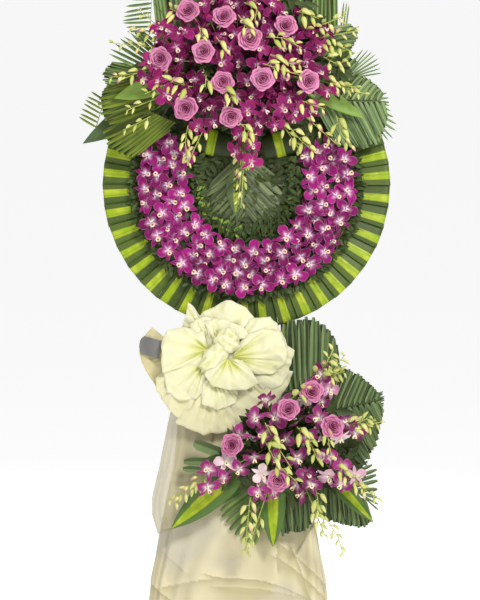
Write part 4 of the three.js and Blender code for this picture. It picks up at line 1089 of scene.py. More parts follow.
def greens_seats(seed, radius, spread_in, spread_out, count, near, far, lean, size, gaps):
    """Small leaves round a ring, fanned outwards (lean 1) or inwards (lean -1), with none where
    the gaps are, in degrees."""
    draw = random.Random(seed)
    seats = Seats()
    for k in range(count):
        angle = 2 * math.pi * (k + draw.random()) / count
        out, around = outward(angle), round_about(angle)
        root = out * (radius + draw.uniform(-spread_in, spread_out))
        root.y = draw.uniform(near, far)
        along = out * lean * draw.uniform(0.3, 1) + around * draw.uniform(-0.9, 0.9)
        along.y = -draw.uniform(0.1, 0.55)
        normal = scatter(draw, (-0.4, 0.4), -1, (-0.4, 0.4))
        length = size * draw.uniform(0.75, 1.15)
        if any(low <= math.degrees(angle) <= high for low, high in gaps):
            continue
        seats.leaf(draw, root, lying(along, normal), length, 0.42)
    return seats


for name, node, finish, tone_seed, measures in GREENS:
    leaves = greens_seats(**measures).grow(name, "small_leaves", finish, tone_seed)
    finished(name, leaves, [node])

GROUND_LEAVES = 900


def ground_seats():
    """Dark leaves pressed flat on the board, inside the ring and under the top spray."""
    draw = random.Random(13)
    seats = Seats()
    while len(seats.rows) < GROUND_LEAVES:
        x, z = draw.uniform(-176, 190), draw.uniform(-128, 226)
        radius = math.hypot(x, z)
        if radius < 132 or (z > 84 and radius < 236):
            way = scatter(draw, (-1, 1), (-0.18, -0.05), (-1, 0.4))
            length = draw.uniform(22, 40)
            root = Vector((x, draw.uniform(-9.5, -14), z))
            seats.leaf(draw, root, lying(way), length, 0.34, 0.3)
    return seats


finished("board_leaves", ground_seats().grow("board_leaves", "small_leaves", small_leaf, 8, 0.7),
         ["inner_greens"])

# ---------------------------------------------------------------- orchid ring
RING_START, RING_SWEEP = math.radians(148), math.radians(243)
RING_ROWS = [
    # radius, blooms, degrees that they lean outwards
    (146, 16, -14), (171, 19, -5), (197, 22, 6), (222, 25, 16),
]
RING_BED = [(134, -9), (232, -9), (233, -26), (226, -38), (184, -41), (144, -38), (134, -30)]
RING_BLOOM_DEPTHS = (-52, -47)
RING_LEAVES = 230


def ring_bed():
    """The mossy bed that the ring's blooms stand out of."""
    loop = len(RING_BED)

    def place(u, v):
        angle = RING_START + RING_SWEEP * v
        radius, y = RING_BED[round(u * loop) % loop]
        lump = noise.noise(Vector((radius * 0.03, y * 0.05, angle * 9))) * 3
        return (math.cos(angle) * (radius + lump * 0.5), min(-8.9, y + lump),
                math.sin(angle) * (radius + lump * 0.5))

    return placed(Shape().grid(90, loop, place).mesh("ring_bed"), small_leaf)


def ring_seats():
    """Rows of open blooms, each a little off its place, the rows set out between one another."""
    draw = random.Random(21)
    seats = Seats()
    for row, (radius, count, tilt) in enumerate(RING_ROWS):
        for k in range(count):
            out = outward(
                RING_START + RING_SWEEP * (k + 0.5 + draw.uniform(-0.18, 0.18)) / count)
            depth = RING_BLOOM_DEPTHS[(k + row) % 2]
            place = out * (radius + draw.uniform(-4, 4)) + Vector((0, depth, 0))
            way = scatter(draw, (-0.35, 0.35), -1, (-0.35, 0.35))
            way += out * math.tan(math.radians(tilt))
            size = draw.uniform(1.02, 1.18)
            seats.put(place, facing(way, draw.uniform(-2.4, 2.4)), (size, size, size),
                      draw.randrange(4))
    return seats


def ring_leaf_seats():
    """Small leaves between the blooms and their bed."""
    draw = random.Random(23)
    seats = Seats()
    for _ in range(RING_LEAVES):
        out = outward(RING_START + RING_SWEEP * draw.random())
        root = out * draw.uniform(137, 232) + Vector((0, draw.uniform(-34, -40), 0))
        way = scatter(draw, (-1, 1), (-0.5, -0.1), (-1, 1))
        seats.leaf(draw, root, lying(way), draw.uniform(16, 26), 0.4)
    return seats


finished("ring_blooms", ring_seats().grow("ring_blooms", "blooms", ring_orchid, 11),
         ["orchid_ring"])
bed = merged([ring_leaf_seats().grow("ring_leaves", "small_leaves", small_leaf, 12), ring_bed()],
             "ring_bed")
finished("ring_bed", bed, ["orchid_ring"])


# ---------------------------------------------------------------- palm fronds
def along_line(points, share):
    """The point at a share of the way through a row of points."""
    spot = share * (len(points) - 1)
    step = min(int(spot), len(points) - 2)
    return Vector(points[step]).lerp(Vector(points[step + 1]), spot - step)


FAN_STEP, BACKING_GAP = 2.6, 2.2
SLIM_BELOW, BACKED_ABOVE = 0.78, 0.94
LEAST_LEAFLET = 3.5
# The last form is the leaflet that lies behind the others, coloured in painted shade.
SHARP_FORMS, BLUNT_FORM, BLUNT_FORMS, SHADOW_LEAFLET_FORM = 3, 3, 2, 5


def fan_seats(fans, root, depth, seed, finish=palm_leaf):
    """Leaflets side by side between a foot line and a line of tips, for each fan, with wider ones
    close behind them that are coloured in painted shade; and the ribs they stand on."""
    draw = random.Random(seed)
    seats, ribs = Seats(), []
    for layer, (feet, tips, count, width) in enumerate(fans):
        slim, backed = width < SLIM_BELOW, width > BACKED_ABOVE
        y = depth + FAN_STEP * layer
        rows = [(k + 0.5, 0.0) for k in range(count)]
        if backed:
            rows += [(float(k), BACKING_GAP) for k in range(1, count)]
        for spot, behind in rows:
            share = spot / count
            foot = along_line(feet, share)
            tip = along_line(tips, min(1, max(0, share + draw.uniform(-0.1, 0.1) / count)))
            run = tip - foot
            long = run.length * (0.97 if behind else draw.uniform(0.96, 1.02))
            before, after = max(0, share - 0.5 / count), min(1, share + 0.5 / count)
            step = (along_line(feet, after) + along_line(tips, after)
                    - along_line(feet, before) - along_line(tips, before)) / 2
            wide = width * abs(step.x * run.y - step.y * run.x) / run.length
            wide = max(LEAST_LEAFLET, wide * (1.3 if behind else 1.0))
            way = Vector((run.x, draw.uniform(-0.02, 0.05) * run.length, run.y))
            normal = FORWARD + scatter(draw, (-0.25, 0.25), 0, (-0.25, 0.25))
            place = Vector((foot.x, y + behind + draw.uniform(-0.8, 0.8), foot.y))
            pick = (draw.randrange(SHARP_FORMS) if slim
                    else BLUNT_FORM + draw.randrange(BLUNT_FORMS))
            seats.put(place, lying(way, normal), (long, wide, wide),
                      SHADOW_LEAFLET_FORM if behind else pick)
        line = [Vector(root)] + [Vector(point) for point in feet]
        ribs.append([(Vector((point.x, y, point.y)), 2.4 - 0.8 * k)
                     for k, point in enumerate(line)])
    return seats, ribs, finish


def frond_seats(root, tip, depth, reach, pairs, arch, spread, seed):
    """The seats of a whole frond's leaflets, side by side, and the line of its rib. The leaflets
    spread from the first angle at its foot to the second at its tip."""
    draw = random.Random(seed)
    start, end = Vector((root[0], 0, root[1])), Vector((tip[0], 0, tip[1]))
    whole = (end - start).length
    axis = (end - start).normalized()
    length = whole - reach * 0.4
    side = Vector((-axis.z, 0, axis.x))
    seats = Seats()

    def along(t):
        return start + axis * (length * t) + Vector((0, depth - arch * math.sin(math.pi * t), 0))

    for i in range(pairs):
        t = (i + 0.5) / pairs
        turn = math.radians(spread[0] + (spread[1] - spread[0]) * t)
        long = reach * (0.66 + 0.34 * math.sin(math.pi * (0.1 + 0.75 * t)))
        width = 1.25 * length / pairs * math.sin(turn) + 1.4
        for sign in (-1, 1):
            bend = turn + math.radians(draw.uniform(-2, 2))
            way = axis * math.cos(bend) + side * (sign * math.sin(bend))
            way.y = draw.uniform(0.0, 0.04)
            normal = FORWARD + side * (sign * draw.uniform(0.1, 0.35))
            place = along(t) + Vector((0, draw.uniform(-1.2, 1.2), 0))
            seats.put(place, lying(way, normal), (long * draw.uniform(0.95, 1.03), width, width),
                      BLUNT_FORM + draw.randrange(BLUNT_FORMS))
    rib = [(along(k / 8) + Vector((0, -0.6, 0)), 2.6 - 1.8 * k / 8) for k in range(9)]
    return seats, [rib]


# Each fan: foot line and line of tips across and up on the board, leaflets, share of the room
# each one fills.
FRONDS = {
    "top_frond_1": dict(root=(-133, 296), depth=-32, fans=[
        ([(-208, 414), (-212, 332)], [(-254, 414), (-267, 389), (-272, 372), (-274, 359),
                                      (-267, 345), (-261, 334)], 8, 0.55),
        ([(-195, 301), (-138, 319)], [(-208, 422), (-182, 427), (-146, 427)], 7, 1.0),
        ([(-199, 319), (-208, 288)], [(-234, 345), (-248, 334)], 3, 0.9)]),
    "top_frond_2": dict(root=(-90, 316), depth=-46, finish=dark_palm, fans=[
        ([(-146, 275), (-91, 297)], [(-177, 450), (-138, 476), (-94, 488)], 7, 1.0),
        ([(-133, 319), (-111, 341)], [(-168, 470), (-116, 490)], 5, 1.0)]),
    "top_frond_3": dict(root=(-133, 280), depth=-58, fans=[
        ([(-190, 279), (-208, 240)], [(-250, 334), (-274, 323), (-294, 301), (-309, 282)],
         6, 0.75),
        ([(-177, 249), (-199, 209)], [(-292, 271), (-309, 260), (-318, 246), (-314, 227),
                                      (-305, 213)], 8, 1.05)]),
    "top_frond_4": dict(root=(-133, 255), depth=-70, finish=warm_palm, fans=[
        ([(-182, 252), (-190, 168)], [(-309, 213), (-320, 200), (-324, 180), (-320, 163),
                                      (-316, 145), (-296, 128)], 8, 1.05),
        ([(-310, 190), (-331, 121)], [(-340, 206), (-349, 192), (-358, 177), (-364, 160),
                                      (-369, 141)], 7, 0.5)]),
    "top_frond_5": dict(root=(-133, 232), depth=-82, finish=warm_palm, fans=[
        ([(-212, 161), (-155, 134)], [(-316, 121), (-309, 97), (-298, 79), (-280, 66),
                                      (-256, 59), (-232, 68)], 9, 1.05),
        ([(-190, 139), (-164, 117)], [(-283, 81), (-261, 68), (-234, 70)], 5, 0.8)]),
    "top_frond_6": dict(root=(50, 316), depth=-34, fans=[
        ([(100, 293), (201, 315)], [(109, 462), (140, 478), (173, 478), (199, 454)], 10, 1.02),
        ([(-70, 322), (92, 318)], [(-88, 470), (-10, 492), (60, 492), (112, 476)], 15, 0.95),
        ([(204, 341), (219, 332)], [(210, 407), (228, 398)], 3, 0.5)]),
    "top_frond_7": dict(root=(93, 292), depth=-48, finish=pale_palm, fans=[
        ([(166, 341), (184, 288)], [(228, 354), (243, 339), (245, 323), (237, 308), (228, 293)],
         7, 1.05),
        ([(219, 249), (241, 235)], [(252, 301), (272, 297), (287, 282), (296, 260), (298, 240)],
         8, 0.6),
        ([(118, 308), (184, 275)], [(184, 345), (219, 301)], 5, 1.0)]),
    "top_frond_8": dict(root=(93, 262), depth=-64, finish=pale_palm, fans=[
        ([(157, 187), (294, 185)], [(212, 249), (241, 244), (267, 233), (287, 218), (302, 198)],
         10, 1.0),
        ([(144, 182), (302, 182)], [(197, 86), (232, 79), (263, 79), (287, 88), (300, 112),
                                    (309, 152)], 13, 1.0),
        ([(244, 184), (262, 182)], [(306, 206), (314, 186), (308, 160)], 4, 0.9),
        ([(140, 206), (206, 222)], [(186, 276), (222, 284), (252, 268)], 6, 1.0),
        ([(280, 187), (285, 125)], [(314, 178), (318, 161), (331, 134), (324, 103), (307, 95)],
         7, 0.5)]),
    "lower_frond_1": dict(root=(122, -512), depth=-38, finish=dark_palm, fans=[
        ([(82, -455), (206, -420)], [(80, -306), (98, -295), (122, -290), (146, -293),
                                     (170, -304), (190, -330), (204, -367)], 11, 1.05)]),
    "lower_frond_2": dict(root=(158, -548), depth=-50, finish=dark_palm, fans=[
        ([(157, -501), (292, -471)], [(201, -394), (228, -405), (254, -420), (276, -440),
                                      (294, -462)], 11, 1.0),
        ([(153, -502), (294, -473)], [(215, -609), (241, -616), (263, -609), (276, -587),
                                      (287, -561), (294, -526), (300, -491)], 11, 1.05),
        ([(226, -486), (250, -481)], [(298, -450), (304, -468), (302, -492)], 4, 0.95)]),
    "lower_frond_3": dict(root=(150, -608), depth=-62, finish=dark_palm, fans=[
        ([(157, -636), (263, -693)], [(153, -730), (179, -737), (206, -746), (232, -752),
                                      (258, -752), (276, -737)], 12, 1.05),
        ([(175, -627), (263, -689)], [(228, -587), (263, -605), (285, -623), (289, -653),
                                      (287, -693), (289, -719)], 11, 0.8)]),
    "lower_frond_4": dict(root=(44, -608), depth=-50, fans=[
        ([(14, -645), (38, -742)], [(-67, -696), (-61, -716), (-52, -735), (-38, -755),
                                    (-19, -774), (3, -787), (24, -794)], 9, 0.92),
        ([(20, -640), (44, -700)], [(-40, -668), (-20, -700), (20, -760)], 5, 1.0)]),
    "lower_frond_5": dict(root=(100, -608), depth=-74, finish=dark_palm, fans=[
        ([(65, -645), (157, -640)], [(74, -772), (96, -763), (118, -766), (138, -750),
                                     (153, -730)], 9, 1.05)]),
    "lower_frond_6": dict(root=(12, -568), depth=-64, finish=dark_palm, fans=[
        ([(-45, -581), (-72, -636)], [(-105, -548), (-140, -603), (-140, -631)], 3, 0.8)]),
}
CENTRE_FROND = dict(root=(0, 212), tip=(-6, -112), depth=-15, reach=110, pairs=18, arch=4,
                    spread=(66, 34))
FROND_SEED, CENTRE_SEED = 31, 61


def add_frond(name, seats, ribs, finish, seed):
    """Leaflets and ribs as one piece, in the place of the frond's own node."""
    blades = seats.grow(name, "leaflets", finish, seed)
    backbone = stems(name, ribs, finish, 6)
    finished(f"{name}_leaflets", merged([blades, backbone], f"{name}_leaflets"),
             [name])


for seed, (name, measures) in enumerate(FRONDS.items(), FROND_SEED):
    add_frond(name, *fan_seats(seed=seed, **measures), seed)

LOOPS_LOW, LOOPS_HIGH = 74, 156
SHORT_BESIDE_LOOPS, SHORT_ABOVE_LOOPS = 30, 88


def clear_of_loops(place, size):
    """Leaflets that would run into the folded leaves are cut short."""
    if LOOPS_LOW < place.z < LOOPS_HIGH:
        size.x = min(size.x, SHORT_BESIDE_LOOPS)
    elif place.z >= LOOPS_HIGH:
        size.x = min(size.x, SHORT_ABOVE_LOOPS)


centre_seats, centre_ribs = frond_seats(seed=CENTRE_SEED, **CENTRE_FROND)
for row in centre_seats.rows:
    clear_of_loops(row[0], row[2])
add_frond("centre_frond", centre_seats, centre_ribs, centre_palm, CENTRE_SEED)


# ---------------------------------------------------------------- broad leaves
BROAD_LEAF_GRID = (22, 6)
LEAF_THICKNESS, LOOP_THICKNESS = 0.0007, 0.0008  # metres


def broad_leaf(finish, root, tip, width, depth, fold=6, arch=5, wave=0.0):
    """A long pointed leaf, folded a little along its midrib, with a slow wave in its edges."""
    start, end = Vector((root[0], depth, root[1])), Vector((tip[0], depth, tip[1]))
    axis = (end - start).normalized()
    side = axis.cross(FORWARD)
    length = (end - start).length

    def place(u, v):
        across = (u - 0.5) * 2
        share = min(1, (0.36 + 1.9 * v)) * (1 - max(0.0, (v - 0.45) / 0.55) ** 2.1)
        half = width / 2 * share
        lift = -arch * math.sin(math.pi * v) + fold * 0.5 - fold * abs(across) * share
        ripple = wave * math.sin(v * 15 + (2 if across > 0 else 0)) * abs(across) * share
        point = start + axis * (length * v) + side * (across * half)
        point.y += lift + ripple
        return point

    mesh = Shape().grid(*BROAD_LEAF_GRID, place).mesh("leaf")
    carry(mesh, "tone", [0.5] * len(mesh.vertices))
    return placed(mesh, finish)


BROAD_LEAVES = {
    "top_leaf_left_low": (dark_leaf, [dict(root=(-133, 226), tip=(-360, 90), width=60,
                                           depth=-38)]),
    "top_leaf_left": (light_leaf, [dict(root=(-133, 240), tip=(-290, 188), width=46,
                                        depth=-88, arch=0)]),
    "top_shoot_right": (light_leaf, [
        dict(root=(93, 240), tip=(260, 144), width=38, depth=-86, arch=0),
        dict(root=(93, 262), tip=(238, 288), width=44, depth=-87, arch=0)]),
    "centre_leaf": (pale_striped, [dict(root=(-24, 44), tip=(-24, -68), width=42, depth=-21,
                                        fold=3, arch=0)]),
    "lower_leaf_left": (striped_leaf, [dict(root=(12, -598), tip=(-166, -755), width=66,
                                            depth=-84, arch=0, wave=1.5)]),
    "lower_leaf_middle": (striped_leaf, [dict(root=(58, -608), tip=(58, -794), width=56,
                                              depth=-90, arch=0, wave=1.0)]),
    "lower_leaf_right": (striped_leaf, [dict(root=(158, -608), tip=(278, -740), width=38,
                                             depth=-84, arch=0, wave=1.5)]),
}


def thick(piece, thickness):
    """Gives a sheet its thickness, as plain mesh."""
    modifier = piece.modifiers.new("Thickness", "SOLIDIFY")
    modifier.thickness, modifier.offset = thickness, 0
    mesh = plain_mesh(piece)
    piece.modifiers.clear()
    piece.data = mesh


for name, (finish, leaves) in BROAD_LEAVES.items():
    meshes = [broad_leaf(finish, **measures) for measures in leaves]
    piece = finished(f"{name}_blade", merged(meshes, f"{name}_blade"), [name])
    thick(piece, LEAF_THICKNESS)


# ---------------------------------------------------------------- folded leaves
LOOP_WIDTH, LOOP_HEIGHT, LOOP_DEPTH, LOOP_OFF_BOARD = 84, 56, 32, 17.4
LOOPS = [
    # across and up, degrees that it leans
    ("folded_leaf_left", -72, 92, 12), ("folded_leaf_right", 76, 90, -14),
]


def loop_mesh(x, z, tilt):
    """A leaf bent back on itself: a flattened oval loop as wide as the leaf."""
    turn = Matrix.Rotation(math.radians(tilt), 4, "Y")
    centre = Vector((x, DISC_FRONT - LOOP_OFF_BOARD, z))

    def place(u, v):
        angle = 2 * math.pi * v - math.pi / 2
        bulge = 1 - 0.10 * abs(2 * u - 1) ** 2
        spot = Vector(((u - 0.5) * LOOP_WIDTH, math.cos(angle) * LOOP_DEPTH / 2 * bulge,
                       math.sin(angle) * LOOP_HEIGHT / 2 * bulge))
        return centre + turn @ spot

    return placed(Shape().grid(40, 16, place).mesh("loop"), loop_leaf)


for name, x, z, tilt in LOOPS:
    piece = finished(f"{name}_blade", loop_mesh(x, z, tilt), [name])
    thick(piece, LOOP_THICKNESS)

# ---------------------------------------------------------------- roses
TOP_FOAM = dict(x=-20, z=270, front=-92)
LOWER_FOAM = dict(x=85, z=-560, front=-92)
STALK_GIRTH, HEAD_TO_STALK = 2.2, 14
# Roses: across and up on the board, and how far they stand out of the foam.
TOP_ROSES = [
    (-127, 378, 52), (-50, 365, 56), (85, 345, 56), (8, 317, 70), (-94, 288, 74),
    (-188, 273, 50), (-52, 222, 76), (34, 229, 76), (135, 224, 62), (-133, 165, 54),
    (-34, 147, 50),
]
LOWER_ROSES = [(91, -491, 62), (142, -453, 52), (188, -530, 54), (-32, -570, 50),
               (69, -645, 58)]


def add_roses(prefix, foam, places, seed):
    """Rose heads that look a little outwards, and their stalks, in the place of their nodes."""
    draw = random.Random(seed)
    seats = Seats()
    lines = []
    for x, z, reach in places:
        foot = Vector((foam["x"] + (x - foam["x"]) * 0.5, foam["front"],
                       foam["z"] + (z - foam["z"]) * 0.4))
        head = Vector((x, foam["front"] - reach, z))
        way = head - foot
        size = draw.uniform(0.93, 1.02)
        gaze = way.normalized() * 0.5 + FORWARD
        seats.put(head, facing(gaze, draw.uniform(0, 6)), (size,) * 3, draw.randrange(3))
        lines.append([(foot, STALK_GIRTH),
                      (head - way.normalized() * HEAD_TO_STALK, STALK_GIRTH)])
    heads = seats.grow(f"{prefix}_roses", "roses", rose_petal, seed)
    stalks = stems(f"{prefix}_rose_stems", lines, bud_skin)
    nodes = [f"{prefix}_rose_{k + 1}" for k in range(len(places))]
    finished(f"{prefix}_roses", heads, nodes)
    finished(f"{prefix}_rose_stems", stalks, nodes)


add_roses("top", TOP_FOAM, TOP_ROSES, 71)
add_roses("lower", LOWER_FOAM, LOWER_ROSES, 72)

# ---------------------------------------------------------------- orchid sprays
TOP_BED, LOWER_BED = (108, 44, 20), (72, 46, 18)  # half across and up, and how far it stands out
TOP_FOAM_HALF, LOWER_FOAM_HALF = (113, 46), (73, 48)
BED_LEAVES = 420
TOP_SEED, LOWER_SEED = 81, 91
# Patches of dark leaves behind the blooms: across and up on the board, radius, leaves.
TOP_PATCHES = [(56, 376, 46, 60), (-60, 380, 50, 50), (130, 300, 60, 60), (-150, 250, 60, 60),
               (98, 396, 26, 30), (180, 250, 30, 40)]
LOWER_PATCHES = [(-16, -606, 36, 60), (150, -496, 40, 70), (56, -548, 34, 50),
                 (190, -600, 44, 60), (90, -640, 50, 60), (150, -636, 30, 40)]
# Stems with blooms low on them and buds at their ends, each given by where its tip is.
TOP_SPRAYS = [
    dict(tip=(-300, -128, 232), blooms=5, buds=7), dict(tip=(-255, -120, 342), blooms=4, buds=7),
    dict(tip=(-128, -112, 46), blooms=4, buds=6),
    dict(tip=(-12, -88, -52), root=(26, -32), rise=6, blooms=7, buds=5),
    dict(tip=(118, -108, 72), blooms=4, buds=6), dict(tip=(196, -112, 88), blooms=5, buds=7),
    dict(tip=(262, -122, 196), blooms=4, buds=7), dict(tip=(246, -124, 336), blooms=5, buds=7),
    dict(tip=(70, -118, 452), blooms=5, buds=7), dict(tip=(-70, -118, 462), blooms=5, buds=7),
]
LOWER_SPRAYS = [
    dict(tip=(-172, -112, -690), blooms=5, buds=7),
    dict(tip=(0, -112, -808), blooms=4, buds=7, open_to=0.44),
    dict(tip=(172, -118, -770), blooms=4, buds=7, open_to=0.5),
    dict(tip=(292, -118, -690), blooms=5, buds=7),
    dict(tip=(296, -112, -520), blooms=4, buds=7), dict(tip=(216, -104, -372), blooms=5, buds=7),
]
# Layers of blooms over the face: half across and up, spacing, and how far they stand out.
TOP_FILLS = [
    dict(across=176, tall=146, shift=4, spacing=37, reach=14, clear=0, turn=1.5),
    dict(across=190, tall=142, shift=-8, spacing=38, reach=42, clear=29, turn=1.0),
]
LOWER_FILLS = [
    dict(across=108, tall=86, shift=6, spacing=42, reach=12, clear=0, turn=1.6),
    dict(across=116, tall=90, shift=8, spacing=47, reach=38, clear=29, turn=1.2),
]
# Bud stems over the face: points across and up on the board, distance forward, buds, size.
TOP_BUDS = [
    ([(-146, 372), (-168, 384)], -128, 4, 1.1),
    ([(-172, 330), (-196, 348), (-238, 382)], -112, 8, 0.8),
    ([(-196, 300), (-240, 302), (-300, 310)], -106, 6, 0.8),
    ([(-160, 262), (-215, 252), (-268, 230)], -122, 8, 1.0),
    ([(-118, 212), (-165, 222), (-222, 196)], -142, 8, 1.15),
    ([(-200, 186), (-245, 168), (-262, 160)], -122, 5, 0.7),
    ([(-210, 148), (-240, 132), (-270, 118)], -120, 5, 0.75),
    ([(-128, 128), (-134, 92), (-128, 40)], -118, 7, 0.95),
    ([(-56, 214), (-34, 196), (-30, 180)], -168, 5, 1.1), ([(-88, 236), (-90, 210)], -164, 2, 1.15),
    ([(-66, 320), (-50, 296), (-46, 290)], -168, 3, 1.0),
    ([(-18, 368), (2, 340), (10, 328)], -164, 4, 1.1),
    ([(-104, 344), (-96, 318)], -160, 3, 1.0), ([(-6, 396), (22, 380), (18, 352)], -156, 5, 1.0),
    ([(-14, 132), (4, 116), (0, 96)], -150, 5, 1.1),
    ([(44, 320), (80, 318), (120, 296)], -160, 8, 1.0),
    ([(52, 282), (86, 262), (118, 262)], -162, 8, 1.05),
    ([(36, 262), (84, 246), (120, 236)], -164, 6, 1.0),
    ([(110, 376), (128, 372), (158, 360)], -148, 5, 1.15),
    ([(126, 330), (166, 348), (216, 368)], -132, 9, 1.05),
    ([(150, 312), (186, 308), (228, 290)], -128, 8, 1.1),
    ([(168, 278), (196, 262), (222, 270)], -124, 6, 1.05),
    ([(168, 236), (208, 216), (244, 210)], -130, 7, 0.85),
    ([(100, 190), (134, 176), (170, 164)], -142, 6, 1.05),
    ([(96, 122), (118, 96), (148, 70)], -126, 6, 1.1),
    ([(196, 150), (206, 112), (228, 80)], -118, 7, 1.05),
    ([(-14, 86), (-12, 30), (-18, -44)], -74, 8, 0.95),
]
LOWER_BUDS = [
    ([(150, -420), (176, -388), (190, -360)], -122, 7, 1.0),
    ([(162, -424), (196, -414), (214, -408)], -124, 6, 1.0),
    ([(96, -470), (120, -450), (128, -440)], -146, 4, 1.1),
    ([(216, -526), (246, -520), (270, -508)], -130, 7, 1.05),
    ([(40, -520), (60, -560), (98, -620)], -156, 8, 1.15),
    ([(110, -530), (136, -556), (156, -604)], -156, 9, 1.15),
    ([(40, -560), (66, -610), (110, -650)], -158, 7, 1.1),
    ([(190, -610), (222, -636), (258, -664)], -132, 8, 1.0),
    ([(164, -520), (178, -556), (186, -600)], -148, 5, 1.0),
    ([(-80, -628), (-124, -660), (-158, -700)], -118, 7, 1.0),
    ([(8, -684), (2, -740), (-2, -800)], -124, 10, 1.05),
    ([(152, -668), (158, -706), (170, -740)], -128, 6, 1.1),
    ([(180, -740), (200, -770), (212, -812)], -116, 6, 0.7),
]


FIRST_BLOOM, FIRST_BUD = 0.26, 0.6  # shares of the way along a stem


def spray(foam, bed, draw, blooms, buds, lines, tip, count, tail, root=None, rise=18,
          open_to=0.68):
    """One arching stem, with open blooms low on it and buds out to its tip."""
    end = Vector(tip)
    if root is None:
        way = Vector(((end.x - foam["x"]) / bed[0], (end.z - foam["z"]) / bed[1])).normalized()
        root = (way.x * 0.72 * bed[0], way.y * 0.72 * bed[1])
    start = Vector((foam["x"] + root[0], foam["front"] - 8, foam["z"] + root[1]))
    crest = start.lerp(end, 0.5) + Vector((0, -rise, 6))
    flank = (end - start).cross(Vector((0, 1, 0))).normalized()

    def at(t):
        return start * (1 - t) ** 2 + crest * (2 * t * (1 - t)) + end * t ** 2

    lines.append([(at(k / 8), 2.3 - 1.6 * k / 8) for k in range(9)])
    for k in range(count):
        t = FIRST_BLOOM + (open_to - FIRST_BLOOM) * (k + 0.5) / count
        sign = -1 if k % 2 else 1
        place = at(t) + flank * (sign * draw.uniform(11, 17)) + Vector((0, -12, 0))
        way = flank * (sign * 0.8) + scatter(draw, (-0.6, 0.6), -1, (-0.6, 0.3))
        size = draw.uniform(0.95, 1.15)
        blooms.put(place, facing(way, draw.uniform(-0.9, 0.9)), (size,) * 3, draw.randrange(4))
        lines.append([(at(t), 1.1), (place + Vector((0, 2, 0)), 0.9)])
    path = [at(FIRST_BUD + (1 - FIRST_BUD) * k / 6) for k in range(7)]
    bud_chain(draw, buds, lines, path, tail, 0.9)


def bud_chain(draw, buds, lines, path, count, size):
    """Buds on short stalks to both sides of a stem, smaller towards its end."""
    for k in range(count):
        share = (k + 0.5) / count
        spot = share * (len(path) - 1)
        step = min(int(spot), len(path) - 2)
        place = path[step].lerp(path[step + 1], spot - step)
        run = (path[step + 1] - path[step]).normalized()
        flank = run.cross(Vector((0, 1, 0))).normalized()
        sign = -1 if k % 2 else 1
        stalk = flank * (sign * draw.uniform(0.5, 1)) + run * draw.uniform(0.1, 0.7)
        stalk += Vector((0, -draw.uniform(0.2, 0.8), draw.uniform(-0.3, 0.1)))
        foot = place + stalk.normalized() * (9 * (1.1 - 0.7 * share)) * size
        length = draw.uniform(18, 25) * (1.15 - 0.55 * share) * size
        way = stalk.normalized() + run * 0.4 + Vector((0, -0.1, draw.uniform(-0.9, 0.1)))
        fat = length * draw.uniform(0.9, 1.1)
        buds.put(foot, lying(way, Vector((0, -0.4, 1))), (length, fat, fat), 0)
        lines.append([(place, 0.9), (foot, 0.7)])


MOST_COLUMNS = 7


def fill(foam, draw, blooms, roses, across, tall, shift, spacing, reach, clear, turn):
    """Blooms over the face, in staggered rows, where they are clear of the roses."""
    lines = []
    rows = math.ceil(tall / spacing) + 1
    for row in range(-rows, rows + 1):
        for column in range(-MOST_COLUMNS, MOST_COLUMNS + 1):
            x = (column + (0.5 if row % 2 else 0)) * spacing + draw.uniform(-6, 6)
            z = row * spacing * 0.87 + draw.uniform(-6, 6)
            deep = draw.uniform(0, 14)
            lean = Vector((x / across * 0.8 + draw.uniform(-turn, turn), -1,
                           z / tall * 0.8 + draw.uniform(-turn, turn)))
            roll, size, pick = draw.uniform(-1.4, 1.4), draw.uniform(0.95, 1.2), draw.randrange(5)
            place = Vector((foam["x"] + x, foam["front"] - reach - deep, foam["z"] + z + shift))
            free = all(math.hypot(place.x - rose_x, place.z - rose_z) > clear
                       for rose_x, rose_z, _ in roses)
            if (x / across) ** 2 + (z / tall) ** 2 < 1 and free:
                blooms.put(place, facing(lean, roll), (size,) * 3, pick)
                foot = Vector((foam["x"] + x * 0.5, foam["front"] - 2,
                               foam["z"] + (z + shift) * 0.3))
                lines.append([(foot, 1.6), (place + Vector((0, 3, 0)), 1.0)])
    return lines


def bed_mesh(foam, bed):
    """The leafy core on the foam's face."""
    across, tall, deep = bed

    def place(u, v):
        share = 1 - 0.5 * v * v if v < 0.98 else 0.0
        angle = 2 * math.pi * u
        return (foam["x"] + math.cos(angle) * across * share, foam["front"] - 0.4 - deep * v,
                foam["z"] + math.sin(angle) * tall * share)

    return placed(Shape().grid(8, 40, place).mesh("bed"), small_leaf)


def bed_leaf_seats(seed, foam, half_size):
    """Small leaves that hide the foam: over its face, its sides and its back edges."""
    draw = random.Random(seed)
    seats = Seats()
    across, tall = half_size
    for _ in range(BED_LEAVES):
        angle = draw.uniform(0, 2 * math.pi)
        edge = draw.random() ** 0.35
        x, z = math.cos(angle) * across * edge * 1.15, math.sin(angle) * tall * edge * 1.2
        x = max(-across, min(across, x))
        z = max(-tall, min(tall, z))
        on_side = abs(x) == across or abs(z) == tall
        y = draw.uniform(-88, -46) if on_side else foam["front"] - draw.uniform(1, 8)
        way = Vector((x / across, -0.5 if on_side else -0.9, z / tall))
        way += scatter(draw, (-0.7, 0.7), (-0.4, 0.3), (-0.7, 0.7))
        root = Vector((foam["x"] + x, y, foam["z"] + z))
        seats.leaf(draw, root, lying(way), draw.uniform(26, 46), 0.36)
    return seats


def filler_seats(seed, patches):
    """Dark leaves set upright behind the blooms, round each patch."""
    draw = random.Random(seed)
    seats = Seats()
    for x, z, spread, count in patches:
        for _ in range(count):
            angle, away = draw.uniform(0, 2 * math.pi), spread * math.sqrt(draw.random())
            root = Vector((x + math.cos(angle) * away, draw.uniform(-88, -76),
                           z + math.sin(angle) * away))
            way = scatter(draw, (-1, 1), (-0.2, 0.05), (-1, 1))
            seats.leaf(draw, root, lying(way), draw.uniform(34, 54), 0.3)
    return seats


